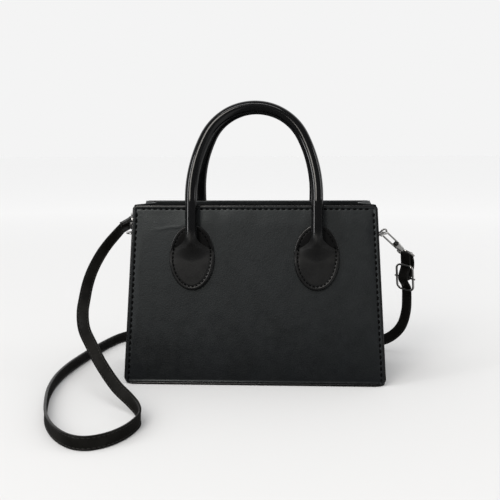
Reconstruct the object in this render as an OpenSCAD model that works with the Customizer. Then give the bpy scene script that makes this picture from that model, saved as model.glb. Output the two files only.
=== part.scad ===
// Small structured leather bag with two rolled top handles and a long clip-on strap.
// Millimetres, +Z up, front face towards -Y, origin at the centre of the base, on the surface it stands on.

/* [Bag body] */
// Width of the bag along its base
base_width = 220; // [190:1:250]
// Depth of the bag at its base
base_depth = 90; // [76:1:110]
// Height of the top edge above the surface the bag stands on
bag_height = 150; // [135:1:180]
// Width of the bag along its top edge
top_width = 204; // [180:1:230]
// Depth of the bag at its top edge
top_depth = 58; // [50:1:74]
// Radius of the front and rear panels' top corners
panel_corner_r = 4; // [2:0.5:8]
// Radius of the base panel's corners
base_corner_r = 2.5; // [1.5:0.5:6]
// Distance that the side gussets are set in from the panels' edges
gusset_inset = 1; // [0.5:0.1:3]
// How far the gussets fold inwards at the top edge
fold_depth = 12; // [6:0.5:16]
// Height of the folded stretch of the gussets, measured down from the top edge
fold_height = 34; // [24:1:40]

/* [Layers] */
// Thickness of the outer leather
leather_t = 1.6; // [1.2:0.1:2.2]
// Thickness of the base leather
base_t = 2; // [1.4:0.1:3]
// Thickness of the stiffening board in the front and rear walls
board_t = 0.8; // [0.5:0.1:1.4]
// Thickness of the stiffening board in the base
base_board_t = 2; // [1:0.1:3]
// Thickness of the lining cloth
lining_t = 0.6; // [0.4:0.1:1]
// Height of the leather facing inside the top edge
facing_height = 30; // [24:1:40]
// Thickness of the leather facing
facing_t = 1.2; // [0.8:0.1:1.8]
// Width of the slip pocket on the rear lining
pocket_width = 120; // [90:1:150]
// Height of the slip pocket
pocket_height = 78; // [60:1:90]
// Distance from the base lining to the pocket's lower edge
pocket_rise = 22; // [12:1:30]
// Diameter of the magnetic snap's two halves
magnet_d = 14; // [10:1:18]
// Thickness of each half of the magnetic snap
magnet_t = 2.4; // [1.6:0.1:3]

/* [Handles] */
// Diameter of the rolled handle
handle_d = 10; // [8:0.5:12]
// Diameter of the rope core inside the rolled handle
core_d = 6.8; // [5:0.2:7.4]
// Distance between a handle's two legs, centre to centre
handle_span = 104; // [90:1:120]
// Height of the top of the handles above the bag's top edge
handle_height = 86; // [70:1:110]
// Angle by which the handle arches lean towards each other
arch_lean = 13; // [9:0.5:16]
// Radius of the gently curved shoulders of the arch
shoulder_r = 114; // [95:1:130]
// Angle turned along each shoulder of the arch
shoulder_angle = 26.5; // [20:0.5:30]
// Width of the oval tabs that hold the handles
tab_width = 38; // [32:1:46]
// Height of the oval tabs
tab_height = 55; // [46:1:64]
// Distance from the top edge down to the middle of the tabs
tab_drop = 44; // [38:1:50]
// Distance from the middle of a tab up to where the handle flexes
flex_rise = 12; // [9:0.5:15]
// Thickness of the backing patch of a tab
patch_t = 1.2; // [0.8:0.1:2]
// Thickness of the handle's flattened end on a tab
flare_t = 1.3; // [0.8:0.1:2]

/* [Rings and clips] */
// Diameter of the D-rings' wire
ring_wire_d = 1.7; // [1.5:0.1:1.8]
// Distance from the top edge down to the D-rings
ring_drop = 26.8; // [22:0.1:32]
// Width of the leather tab that holds a D-ring
ring_tab_width = 9; // [7:0.5:11]
// Thickness of the leather in a ring tab
ring_tab_t = 1.4; // [1:0.1:2]
// Length of the sewn part of a ring tab
ring_tab_length = 20; // [14:1:26]
// Diameter of the clips' wire
clip_wire_d = 1.6; // [1.4:0.1:1.7]
// Distance from the clip's bow to the end of its barrel
clip_length = 34.5; // [32:0.5:38]
// Distance of the clip's two rods from its centre line
rod_offset = 2.3; // [2.2:0.1:2.8]
// Radius of the clip's round bow, to the middle of its wire
bow_r = 3.3; // [3.1:0.1:3.6]
// Diameter of the clip's barrel
barrel_d = 5.4; // [5.2:0.1:6.5]

/* [Strap] */
// Width of the strap
strap_width = 10; // [8:0.5:12]
// Thickness of the strap
strap_t = 2.2; // [1.8:0.1:2.6]
// Thickness of the strap where it is pared down and folded round the fittings
fold_t = 1.8; // [1.4:0.1:2]
// Distance from the right clip's eye down to the middle of the slider
slider_drop = 21.5; // [20:0.5:26]
// Height of the slider's frame, to the middle of its wire
slider_height = 24; // [20:0.5:26]
// Diameter of the slider's wire
slider_wire_d = 2; // [1.6:0.1:2.2]

/* [Hidden] */
$fn = 40;

leather_colour = "#26272a";
edge_colour = "#1b1b1d";
lining_colour = "#3a3a3e";
board_colour = "#8a7a5c";
rope_colour = "#c9bfa6";
metal_colour = "#b9bcc0";

// Small gap between layers that are sewn or glued together
layer_gap = 0.1;
// Running clearance of pins and posts in their holes
pin_gap = 0.08;
// Clearance round parts that move past each other
move_gap = 0.3;
// How far a cut runs past the solid that it cuts
overrun = 1;

// Slopes of the walls
front_lean = atan((base_depth - top_depth) / 2 / bag_height);
side_lean = atan((base_width - top_width) / 2 / bag_height);
slope_height = bag_height / cos(front_lean);
wall_t = leather_t + board_t + lining_t + 3 * layer_gap;
facing_back = leather_t + board_t + 2 * layer_gap;
floor_top = base_t + base_board_t + lining_t + 3 * layer_gap;

// Half the width of the front panel at distance s up its slope
function panel_half(s) = base_width / 2 - (base_width - top_width) / 2 * s / slope_height;
// Half the depth between the front and rear leather at height z
function room_half(z, inside) =
    base_depth / 2 - z * tan(front_lean) - (leather_t + layer_gap + inside) / cos(front_lean);

// Puts children on the front wall: x across, y up its slope, z outwards from its outer face
module on_front() {
    translate([0, -base_depth / 2, 0]) rotate([90 - front_lean, 0, 0]) children();
}

// Puts children on the front or the rear wall
module on_wall(rear) {
    if (rear) mirror([0, 1, 0]) on_front() children();
    else on_front() children();
}

// Everything above height z, as a cutter for the leaning walls
module above(z) {
    translate([-base_width, -base_depth, z]) cube([2 * base_width, 2 * base_depth, 2 * bag_height]);
}

// Outline of a wall layer between two distances up the slope, drawn in from the sides by margin
module wall_outline(low, high, margin, r) {
    top_x = panel_half(high - r) - margin;
    polygon([
        [-(panel_half(low) - margin), low], [panel_half(low) - margin, low],
        [top_x, high - r], [top_x - r, high], [-(top_x - r), high], [-top_x, high - r],
    ]);
    for (side = [-1, 1]) translate([side * (top_x - r), high - r]) circle(r);
}

// One layer of the front or rear wall, at a depth below the outer face
module wall_layer(rear, depth, t, low, high, margin, r, floor_z) {
    intersection() {
        on_wall(rear) translate([0, 0, -depth - t]) linear_extrude(t) wall_outline(low, high, margin, r);
        above(floor_z);
    }
}

// Outline of the base, drawn in by margin at its sides and ends
module base_outline(end_margin, side_margin, r) {
    x = base_width / 2 - end_margin - r;
    y = base_depth / 2 - side_margin - r;
    square([2 * x, 2 * (y + r)], center = true);
    square([2 * (x + r), 2 * y], center = true);
    for (sx = [-1, 1], sy = [-1, 1]) translate([sx * x, sy * y]) circle(r);
}

module base_panel() color(leather_colour)
    linear_extrude(base_t) base_outline(0, 0, base_corner_r);

side_room = gusset_inset + leather_t + layer_gap;

module base_board() color(board_colour)
    translate([0, 0, base_t + layer_gap]) linear_extrude(base_board_t)
        base_outline(side_room + lining_t + 3 * layer_gap,
                     base_depth / 2 - room_half(floor_top, board_t + lining_t + 2 * layer_gap),
                     base_corner_r);

module base_lining() color(lining_colour)
    translate([0, 0, base_t + base_board_t + 2 * layer_gap]) linear_extrude(lining_t)
        base_outline(side_room + lining_t + 3 * layer_gap,
                     base_depth / 2 - room_half(floor_top, board_t + lining_t + 2 * layer_gap),
                     base_corner_r);

module front_panel() color(leather_colour)
    wall_layer(false, 0, leather_t, 0, slope_height, 0, panel_corner_r, base_t);

module rear_panel() color(leather_colour)
    wall_layer(true, 0, leather_t, 0, slope_height, 0, panel_corner_r, base_t);

// The boards stop short of the seams, and a hole in each takes the snap's washer
board_margin = 9;
magnet_s = slope_height - facing_height / 2;
washer_t = 0.5;
washer_d = magnet_d - 1;

module wall_board(rear) difference() {
    wall_layer(rear, leather_t + layer_gap, board_t, base_t, slope_height - panel_corner_r,
               board_margin, panel_corner_r, base_t + layer_gap);
    on_wall(rear) translate([0, magnet_s, -leather_t - layer_gap - board_t - overrun])
        cylinder(d = washer_d + 2 * layer_gap, h = board_t + 2 * overrun);
}

module front_board() color(board_colour) wall_board(false);
module rear_board() color(board_colour) wall_board(true);

module wall_lining(rear)
    wall_layer(rear, facing_back, lining_t, base_t, slope_height - facing_height - layer_gap,
               board_margin, panel_corner_r, floor_top);

module front_lining() color(lining_colour) wall_lining(false);
module rear_lining() color(lining_colour) wall_lining(true);

module wall_facing(rear)
    wall_layer(rear, facing_back, facing_t, slope_height - facing_height, slope_height - layer_gap,
               board_margin, panel_corner_r, floor_top);

module front_facing() color(leather_colour) wall_facing(false);
module rear_facing() color(leather_colour) wall_facing(true);

pocket_t = 0.8;
pocket_corner_r = 6;

module slip_pocket() color(lining_colour)
    on_wall(true) translate([0, floor_top + pocket_rise, -wall_t - pocket_t]) linear_extrude(pocket_t) {
        translate([-pocket_width / 2, pocket_corner_r])
            square([pocket_width, pocket_height - pocket_corner_r]);
        translate([-pocket_width / 2 + pocket_corner_r, 0])
            square([pocket_width - 2 * pocket_corner_r, pocket_height]);
        for (side = [-1, 1])
            translate([side * (pocket_width / 2 - pocket_corner_r), pocket_corner_r]) circle(pocket_corner_r);
    }

// The magnetic snap: a socket on the front facing, a stud on the rear one, and a washer behind each
snap_depth = facing_back + facing_t;
stud_d = 0.35 * magnet_d;
stud_t = 0.6;

module snap_washer(rear)
    on_wall(rear) translate([0, magnet_s, -leather_t - layer_gap - (board_t + washer_t) / 2])
        cylinder(d = washer_d, h = washer_t);

module front_magnet_washer() color(metal_colour) snap_washer(false);
module rear_magnet_washer() color(metal_colour) snap_washer(true);

module magnet_socket() color(metal_colour)
    on_wall(false) translate([0, magnet_s, -snap_depth - magnet_t]) difference() {
        cylinder(d = magnet_d, h = magnet_t);
        translate([0, 0, -overrun]) cylinder(d = stud_d + 2 * layer_gap, h = overrun + stud_t);
    }

module magnet_stud() color(metal_colour)
    on_wall(true) translate([0, magnet_s, -snap_depth - magnet_t + stud_t]) {
        cylinder(d = magnet_d, h = magnet_t - stud_t);
        translate([0, 0, -stud_t]) cylinder(d = stud_d, h = magnet_t);
    }

// Surface of a gusset: its distance from the middle plane at height z, at share u of the room's half depth
fold_start = bag_height - fold_height;
fold_power = 2;
function fold_at(z) = z > fold_start ? fold_depth * pow((z - fold_start) / fold_height, fold_power) : 0;
function gusset_x(u, z, inside) =
    base_width / 2 - gusset_inset - inside / cos(side_lean) - z * tan(side_lean)
    - fold_at(z) * pow(cos(90 * abs(u)), fold_power);

across_steps = 18;
fold_rows = 8;
// Gap between a gusset and its lining, which is cut narrower
lining_gap = 0.3;
function gusset_rows(low, high) = concat([low],
    [for (i = [0:fold_rows]) fold_start + (high - fold_start) * i / fold_rows]);

// A thin sheet that follows the right gusset, from the low to the high z, inside mm below its surface
module gusset_sheet(low, high, inside, t, room) {
    rows = gusset_rows(low, high);
    n = across_steps + 1;
    skin = [for (d = [inside, inside + t], z = rows, i = [0:across_steps])
        let (y = (2 * i / across_steps - 1) * room_half(z, room)) [gusset_x(y / room_half(z, 0), z, d), y, z]];
    back = n * len(rows);
    last = n * (len(rows) - 1);
    front_faces = [for (r = [0:len(rows) - 2], i = [0:across_steps - 1]) let (a = r * n + i)
        each [[a, a + n, a + n + 1], [a, a + n + 1, a + 1]]];
    back_faces = [for (f = front_faces) [f[2] + back, f[1] + back, f[0] + back]];
    low_edge = [for (i = [0:across_steps - 1]) each [[i, i + 1, i + 1 + back], [i, i + 1 + back, i + back]]];
    high_edge = [for (i = [0:across_steps - 1]) let (a = last + i)
        each [[a + 1, a, a + back], [a + 1, a + back, a + 1 + back]]];
    near_edge = [for (r = [0:len(rows) - 2]) let (a = r * n)
        each [[a + n, a, a + back], [a + n, a + back, a + n + back]]];
    far_edge = [for (r = [0:len(rows) - 2]) let (a = r * n + across_steps)
        each [[a, a + n, a + n + back], [a, a + n + back, a + back]]];
    polyhedron(skin, concat(front_faces, back_faces, low_edge, high_edge, near_edge, far_edge));
}

module right_gusset() color(leather_colour)
    gusset_sheet(base_t, bag_height - layer_gap, 0, leather_t, 0);

module left_gusset() color(leather_colour)
    mirror([1, 0, 0]) gusset_sheet(base_t, bag_height - layer_gap, 0, leather_t, 0);

lining_top = bag_height - 2 * leather_t;

module gusset_lining()
    gusset_sheet(floor_top, lining_top, leather_t + lining_gap, lining_t, board_t + lining_t + 2 * layer_gap);

module right_lining() color(lining_colour) gusset_lining();

module left_lining() color(lining_colour) mirror([1, 0, 0]) gusset_lining();

// The oval tabs and the handles' flattened ends
handle_r = handle_d / 2;
tab_s = slope_height - tab_drop;
flex_s = tab_s + flex_rise;
leg_standoff = patch_t + layer_gap + flare_t / 2 + handle_r;
// The flattened end is this much smaller than its patch all round
flare_inset = 0.4;
oval_steps = 48;

function oval(w, h) = [for (i = [0:oval_steps - 1])
    let (a = 360 * i / oval_steps) [w / 2 * cos(a), h / 2 * sin(a)]];

module tab_patch(rear, side) on_wall(rear)
    translate([side * handle_span / 2, tab_s, 0]) linear_extrude(patch_t) polygon(oval(tab_width, tab_height));

// Heights on a tab, above its middle, where the flattened end starts to draw in and where its neck starts
shoulder_rise = tab_height / 12;
neck_rise = -tab_height / 9;
neck_r = handle_r - flare_inset;
neck_steps = 28;
// How far a handle folds down, as in its joint
fold_limit = 95;

module neck_solid() {
    low_w = 0.52 * tab_width;
    low_h = 0.34 * tab_height;
    hull() {
        translate([0, neck_rise, 0]) linear_extrude(flare_t) polygon(oval(low_w, low_h));
        translate([0, flex_rise - handle_r / 2, leg_standoff - patch_t - layer_gap])
            sphere(neck_r, $fn = neck_steps);
        translate([0, flex_rise - handle_r, flare_t / 2])
            cylinder(r = handle_r, h = flare_t / 2, $fn = neck_steps);
    }
}

module tab_flare(rear, side) on_wall(rear)
    translate([side * handle_span / 2, tab_s, patch_t + layer_gap]) difference() {
        union() {
            linear_extrude(flare_t) intersection() {
                polygon(oval(tab_width - 2 * flare_inset, tab_height - 2 * flare_inset));
                polygon([
                    [-tab_width, -tab_height], [tab_width, -tab_height], [tab_width, shoulder_rise],
                    [tab_width / 2, shoulder_rise], [handle_r, flex_rise], [-handle_r, flex_rise],
                    [-tab_width / 2, shoulder_rise], [-tab_width, shoulder_rise],
                ]);
            }
            neck_solid();
        }
        translate([0, flex_rise, leg_standoff - patch_t - layer_gap]) {
            sphere(handle_r + move_gap);
            for (turn = [0, fold_limit]) rotate([turn - 90, 0, 0])
                cylinder(r = handle_r + move_gap, h = tab_height);
        }
    }

module front_left_patch() color(leather_colour) tab_patch(false, -1);
module front_right_patch() color(leather_colour) tab_patch(false, 1);
module rear_left_patch() color(leather_colour) tab_patch(true, -1);
module rear_right_patch() color(leather_colour) tab_patch(true, 1);
module front_left_flare() color(edge_colour) tab_flare(false, -1);
module front_right_flare() color(edge_colour) tab_flare(false, 1);
module rear_left_flare() color(edge_colour) tab_flare(true, -1);
module rear_right_flare() color(edge_colour) tab_flare(true, 1);

// The handle's path: straight legs beside the wall, a short bend inwards, then an arch of four arcs
bend_s = slope_height + 1;
bend_r = 30;
bend_angle = arch_lean - front_lean;
arch_s = bend_s + bend_r * sin(bend_angle);
arch_out = leg_standoff - bend_r * (1 - cos(bend_angle));
arch_z = arch_s * cos(front_lean) + arch_out * sin(front_lean);
crown_r = (handle_span / 2 - shoulder_r * (1 - cos(shoulder_angle))) / cos(shoulder_angle);
arch_height = (bag_height + handle_height - handle_r - arch_z) / cos(arch_lean);
arch_straight = arch_height - shoulder_r * sin(shoulder_angle) - crown_r * (1 - sin(shoulder_angle));

leg_steps = 4;
shoulder_steps = 6;
crown_steps = 8;
crown_v = arch_straight + (shoulder_r - crown_r) * sin(shoulder_angle);

// Points of the path's right half, from the leg's foot to the top of the arch: on the wall, then on the arch
function wall_point(x, s, out) = [x, -base_depth / 2 + s * sin(front_lean) - out * cos(front_lean),
                                  s * cos(front_lean) + out * sin(front_lean)];
function arch_point(x, v) = wall_point(x, arch_s + v * cos(bend_angle), arch_out - v * sin(bend_angle));
handle_half = concat(
    [for (i = [0:leg_steps])
        wall_point(handle_span / 2, flex_s + (bend_s - flex_s) * i / leg_steps, leg_standoff)],
    [let (a = bend_angle / 2)
        wall_point(handle_span / 2, bend_s + bend_r * sin(a), leg_standoff - bend_r * (1 - cos(a)))],
    [arch_point(handle_span / 2, 0)],
    [for (i = [0:shoulder_steps]) let (a = shoulder_angle * i / shoulder_steps)
        arch_point(handle_span / 2 - shoulder_r * (1 - cos(a)), arch_straight + shoulder_r * sin(a))],
    [for (i = [1:crown_steps]) let (a = shoulder_angle + (90 - shoulder_angle) * i / crown_steps)
        arch_point(crown_r * cos(a), crown_v + crown_r * sin(a))]);
last_half = len(handle_half) - 1;
handle_points = concat(handle_half,
    [for (i = [last_half - 1:-1:0]) [-handle_half[i][0], handle_half[i][1], handle_half[i][2]]]);

// A closed solid through a line of rings, each a list of the same number of points
module skin(rings) {
    sides = len(rings[0]);
    last = sides * (len(rings) - 1);
    walls = [for (r = [0:len(rings) - 2], k = [0:sides - 1])
        let (a = r * sides + k, b = r * sides + (k + 1) % sides)
        each [[a, a + sides, b + sides], [a, b + sides, b]]];
    polyhedron([for (r = rings) each r],
               concat(walls, [[for (k = [0:sides - 1]) k]], [[for (k = [sides - 1:-1:0]) last + k]]));
}

// A round tube along points, with rounded ends, drawn as rings square to its path
tube_sides = 18;
end_turns = [80, 50, 25];
function along(p, i) = unit(p[min(i + 1, len(p) - 1)] - p[max(i - 1, 0)]);
function round_ring(at, t, r) = let (u = unit(cross(t, [0, -cos(arch_lean), sin(arch_lean)])), v = cross(t, u))
    [for (k = [0:tube_sides - 1]) let (a = 360 * k / tube_sides) at + r * (cos(a) * u + sin(a) * v)];
function end_ring(at, t, r, side, a) = round_ring(at + side * r * sin(a) * t, t, r * cos(a));
function tube_rings(p, r) = let (end = len(p) - 1) concat(
    [for (a = end_turns) end_ring(p[0], along(p, 0), r, -1, a)],
    [for (i = [0:end]) round_ring(p[i], along(p, i), r)],
    [for (i = [len(end_turns) - 1:-1:0]) end_ring(p[end], along(p, end), r, 1, end_turns[i])]);

module handle_cover() difference() {
    skin(tube_rings(handle_points, handle_r));
    skin(tube_rings(handle_points, core_d / 2 + layer_gap));
}

module handle_core() skin(tube_rings(handle_points, core_d / 2));

module front_handle_cover() color(edge_colour) handle_cover();
module rear_handle_cover() color(edge_colour) mirror([0, 1, 0]) handle_cover();
module front_handle_core() color(rope_colour) handle_core();
module rear_handle_core() color(rope_colour) mirror([0, 1, 0]) handle_core();

// The D-rings on their leather tabs, in a frame on the right gusset: x outwards, z up its slope
ring_wire_r = ring_wire_d / 2;
ring_half = strap_width / 2 + 1.5;
ring_leg = 1.8;
ring_v = (bag_height - ring_drop) / cos(side_lean);
bar_out = ring_tab_t + layer_gap + pin_gap + ring_wire_r;

module on_gusset() {
    translate([base_width / 2 - gusset_inset, 0, 0]) rotate([0, -side_lean, 0]) children();
}

module ring_tab() on_gusset() rotate([90, 0, 0]) translate([0, 0, -ring_tab_width / 2])
    linear_extrude(ring_tab_width) difference() {
        union() {
            translate([layer_gap, ring_v - ring_tab_length]) square([ring_tab_t, ring_tab_length]);
            translate([layer_gap + ring_tab_t, ring_v - ring_tab_length])
                square([ring_tab_t, ring_tab_length - ring_wire_d]);
            translate([bar_out + layer_gap, ring_v]) circle(ring_wire_r + pin_gap + ring_tab_t);
        }
        translate([bar_out + layer_gap, ring_v]) circle(ring_wire_r + pin_gap);
    }

// A closed wire loop: a straight bar along y at the origin, two legs along x and a round bow
module wire_loop(half, leg, r) {
    rotate([90, 0, 0]) translate([0, 0, -half]) cylinder(r = r, h = 2 * half);
    for (side = [-1, 1]) translate([0, side * half, 0]) {
        sphere(r);
        rotate([0, 90, 0]) cylinder(r = r, h = leg);
    }
    translate([leg, 0, 0]) rotate([0, 0, -90])
        rotate_extrude(angle = 180, $fn = 60) translate([half, 0]) circle(r);
}

// Where the right ring's bar lies
bar_x = base_width / 2 - gusset_inset + (bar_out + layer_gap) * cos(side_lean) - ring_v * sin(side_lean);
bar_z = ring_v * cos(side_lean) + (bar_out + layer_gap) * sin(side_lean);

// How far round each ring's bow, towards the rear, the clip hangs, and the place and line of the wire there
right_slip = 50;
left_slip = 65;
function ring_point(right) = let (a = right ? right_slip : left_slip, side = right ? 1 : -1)
    [side * (bar_x + ring_leg + ring_half * cos(a)), ring_half * sin(a), bar_z];
function ring_line(right) = let (a = right ? right_slip : left_slip, side = right ? 1 : -1)
    [-side * sin(a), cos(a), 0];

module ring() translate([bar_x, 0, bar_z]) wire_loop(ring_half, ring_leg, ring_wire_r);

module right_ring_tab() color(leather_colour) ring_tab();
module left_ring_tab() color(leather_colour) mirror([1, 0, 0]) ring_tab();
module right_ring() color(metal_colour) ring();
module left_ring() color(metal_colour) mirror([1, 0, 0]) ring();

// Directions, as shares of a millimetre: along each clip to its eye, along the eye's bar, and up the strap
function unit(v) = v / norm(v);
right_clip_shares = unit([0.54, 0.66, -0.50]);
right_bar_shares = unit(cross(cross(right_clip_shares, [-0.86, 0.42, 0.25]), right_clip_shares));
right_up_shares = unit(cross(cross(right_bar_shares, [-0.12, -0.20, 0.97]), right_bar_shares));
left_clip_shares = unit([-0.20, 0.972, 0.12]);
left_bar_shares = unit(cross(cross(left_clip_shares, [-0.05, -0.2, 0.97]), left_clip_shares));
left_up_shares = unit(cross(cross(left_bar_shares, [0.21, 0.95, 0.2]), left_bar_shares));
// Turn of each clip about its own length
right_clip_turn = 30;
left_clip_turn = 0;

// Puts children at a point, with their x and z along two directions at right angles
module facing(at, x, z) {
    y = cross(z, x);
    multmatrix([[x[0], y[0], z[0], at[0]], [x[1], y[1], z[1], at[1]], [x[2], y[2], z[2], at[2]], [0, 0, 0, 1]])
        children();
}

// Frame of a clip: the ring's wire at the origin, z along the clip, x square to the wire
module on_clip(right, turned) {
    along = right ? right_clip_shares : left_clip_shares;
    facing(ring_point(right), unit(cross(ring_line(right), along)), along)
        rotate([0, 0, turned ? (right ? right_clip_turn : left_clip_turn) : 0]) children();
}

// Frame on a clip's eye: z still along the clip, x along the eye's bar
module on_eye(right) {
    along = right ? right_clip_shares : left_clip_shares;
    bar = right ? right_bar_shares : left_bar_shares;
    facing(ring_point(right), bar, along) children();
}

clip_wire_r = clip_wire_d / 2;
barrel_r = barrel_d / 2;
post_r = 1.2;
head_r = barrel_r - 0.8;
head_t = 1.4;
cap_t = 1.6;
barrel_start = clip_length - 7;
shoulder_start = barrel_start - 4;
bow_turn = acos(rod_offset / bow_r);
rod_start = bow_r * sin(bow_turn);
gate_pin_r = 0.45;
gate_pin_z = shoulder_start + 1.6;
gate_tip_z = rod_start + 1.2;
gate_slot = 0.9 * clip_wire_d;

module hook() difference() {
    union() {
        // round bow, open on the gate's side
        rotate([90, 0, 0]) rotate([0, 0, bow_turn]) mirror([0, 1, 0])
            rotate_extrude(angle = 180 + 2 * bow_turn, $fn = 60) translate([bow_r, 0]) circle(clip_wire_r);
        translate([rod_offset, 0, rod_start]) sphere(clip_wire_r);
        // rigid rod
        translate([-rod_offset, 0, rod_start]) {
            sphere(clip_wire_r);
            cylinder(r = clip_wire_r, h = shoulder_start + clip_wire_r - rod_start);
        }
        // shoulder and barrel
        translate([0, 0, shoulder_start]) {
            intersection() {
                cylinder(r = rod_offset + clip_wire_r, h = barrel_start - shoulder_start);
                translate([-2 * barrel_r, -barrel_r, 0]) cube([4 * barrel_r, 2 * barrel_r, barrel_start]);
            }
        }
        translate([0, 0, barrel_start]) cylinder(r = barrel_r, h = clip_length - barrel_start);
    }
    // slot for the gate, and the hole of its pin
    translate([0, -gate_slot / 2 - move_gap, shoulder_start - overrun])
        cube([2 * barrel_r, gate_slot + 2 * move_gap, overrun + 2 * (gate_pin_z - shoulder_start)]);
    translate([rod_offset, barrel_r + overrun, gate_pin_z]) rotate([90, 0, 0])
        cylinder(r = gate_pin_r, h = 2 * (barrel_r + overrun));
    // room for the eye's post and its head
    translate([0, 0, clip_length - cap_t - head_t - 2 * move_gap])
        cylinder(r = head_r + pin_gap, h = head_t + 2 * move_gap);
    translate([0, 0, clip_length - cap_t - overrun]) cylinder(r = post_r + pin_gap, h = cap_t + 2 * overrun);
}

// The sprung gate: a flat tongue on the pin, and a round rod that closes on the bow's end
module gate() difference() {
    union() {
        translate([rod_offset, 0, gate_tip_z + clip_wire_r]) {
            sphere(clip_wire_r);
            cylinder(r = clip_wire_r, h = shoulder_start - move_gap - gate_tip_z - clip_wire_r);
        }
        translate([rod_offset - clip_wire_r, -gate_slot / 2, shoulder_start - 2 * clip_wire_r])
            cube([2 * clip_wire_r, gate_slot, gate_pin_z - shoulder_start + 2 * clip_wire_r]);
        translate([rod_offset, gate_slot / 2, gate_pin_z]) rotate([90, 0, 0])
            cylinder(r = clip_wire_r, h = gate_slot);
    }
    translate([rod_offset, barrel_r, gate_pin_z]) rotate([90, 0, 0])
        cylinder(r = gate_pin_r + pin_gap, h = 2 * barrel_r);
}

module gate_pin()
    translate([rod_offset, barrel_r - clip_wire_r / 2, gate_pin_z]) rotate([90, 0, 0])
        cylinder(r = gate_pin_r, h = 2 * barrel_r - clip_wire_r);

module right_hook() color(metal_colour) on_clip(true, true) hook();
module left_hook() color(metal_colour) on_clip(false, true) hook();
module right_gate() color(metal_colour) on_clip(true, true) gate();
module left_gate() color(metal_colour) on_clip(false, true) gate();
module right_gate_pin() color(metal_colour) on_clip(true, true) gate_pin();
module left_gate_pin() color(metal_colour) on_clip(false, true) gate_pin();

// The swivel eye: a headed post in the barrel and a D-shaped loop for the strap
eye_wire_r = 1;
eye_half = strap_width / 2 + 2.6;
eye_leg = 1.8;
post_length = 0.4;
eye_bar_z = clip_length + post_length + eye_half + eye_leg + eye_wire_r;

module eye() {
    translate([0, 0, clip_length - cap_t - head_t - move_gap]) {
        cylinder(r = head_r, h = head_t);
        cylinder(r = post_r, h = head_t + move_gap + cap_t + post_length + eye_wire_r);
    }
    translate([0, 0, eye_bar_z]) rotate([0, 0, 90]) rotate([0, 90, 0]) wire_loop(eye_half, eye_leg, eye_wire_r);
}

module right_eye() color(metal_colour) on_eye(true) eye();
module left_eye() color(metal_colour) on_eye(false) eye();

// Frame of a strap end: origin on the eye's bar, y up the strap, z along the bar
function eye_point(right) =
    ring_point(right) + eye_bar_z * (right ? right_clip_shares : left_clip_shares);
module on_strap_end(right) {
    up = right ? right_up_shares : left_up_shares;
    bar = right ? right_bar_shares : left_bar_shares;
    facing(eye_point(right), cross(up, bar), bar) children();
}

// The outline of a bent strip along a line of points, with its thickness at each of them
function line_side(p, i) = let (d = along(p, i)) [-d[1], d[0]];
function strip(p, t) = concat([for (i = [0:len(p) - 1]) p[i] + t[i] / 2 * line_side(p, i)],
                              [for (i = [len(p) - 1:-1:0]) p[i] - t[i] / 2 * line_side(p, i)]);
function even(p, t) = [for (q = p) t];

strip_steps = 14;
fold_line_r = eye_wire_r + pin_gap + fold_t / 2;
slider_wire_r = slider_wire_d / 2;
slider_out = fold_line_r + slider_wire_r + fold_t / 2 + pin_gap;
slider_bar_r = 0.8;
end_wrap_t = 1.2;
bulge = slider_wire_r + fold_t / 2 + slider_bar_r + 3 * pin_gap + end_wrap_t + fold_t / 2;
slider_low = -slider_drop - slider_height / 2;
// How far below the slider the folded end of the strap starts
tail_length = 6;
right_tail = slider_low - tail_length;

// Middle line of the strap end: behind the slider's lower wire, over its bar, behind the upper wire
function over_bar(y) = fold_line_r + bulge * (1 - cos(360 * (y - slider_low) / slider_height)) / 2;
right_line = concat(
    [[fold_line_r, right_tail]],
    [for (i = [0:strip_steps]) let (y = slider_low + slider_height * i / strip_steps) [over_bar(y), y]],
    [for (i = [0:strip_steps]) let (a = 180 * i / strip_steps) fold_line_r * [cos(a), sin(a)]]);
// Shares of the bend round the eye, and of the drop to the slider, that the back of the loop passes
back_shares = [[-1.5, -0.16], [-2.05, -0.36], [-1.95, -0.56], [-1.2, -0.78], [-0.1, -0.96]];
back_line = [for (s = back_shares) [s[0] * fold_line_r, s[1] * slider_drop]];
wrap_r = slider_bar_r + pin_gap + end_wrap_t / 2;
wrap_line = [for (i = [0:strip_steps]) let (a = 240 + 260 * i / strip_steps)
    [slider_out + wrap_r * cos(a), -slider_drop + wrap_r * sin(a)]];

module right_strap_loop() color(leather_colour) on_strap_end(true)
    translate([0, 0, -strap_width / 2]) linear_extrude(strap_width)
        polygon(strip(concat(right_line, back_line, wrap_line),
                      concat(even(right_line, fold_t), even(back_line, (fold_t + end_wrap_t) / 2),
                             even(wrap_line, end_wrap_t))));

slider_half = strap_width / 2 + slider_wire_r + 2.8;
slider_corner_r = 4.5;

// The slider's frame: a rounded rectangle of wire, with the holes of its bar
module slider_frame() color(metal_colour) on_strap_end(true)
    translate([slider_out, -slider_drop, 0]) rotate([0, 90, 0]) {
        x = slider_half - slider_corner_r;
        y = slider_height / 2 - slider_corner_r;
        difference() {
            union() {
                for (side = [-1, 1]) {
                    translate([side * slider_half, y, 0]) rotate([90, 0, 0])
                        cylinder(r = slider_wire_r, h = 2 * y);
                    translate([-x, side * slider_height / 2, 0]) rotate([0, 90, 0])
                        cylinder(r = slider_wire_r, h = 2 * x);
                }
                for (turn = [0:3]) translate([(turn == 0 || turn == 3 ? x : -x), (turn < 2 ? y : -y), 0])
                    rotate([0, 0, 90 * turn])
                        rotate_extrude(angle = 90, $fn = 48)
                            translate([slider_corner_r, 0]) circle(slider_wire_r);
            }
            rotate([0, 90, 0]) translate([0, 0, -2 * slider_half])
                cylinder(r = bar_hole_r + pin_gap, h = 4 * slider_half);
        }
    }

bar_hole_r = 0.5;
bar_ear = 1;

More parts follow.
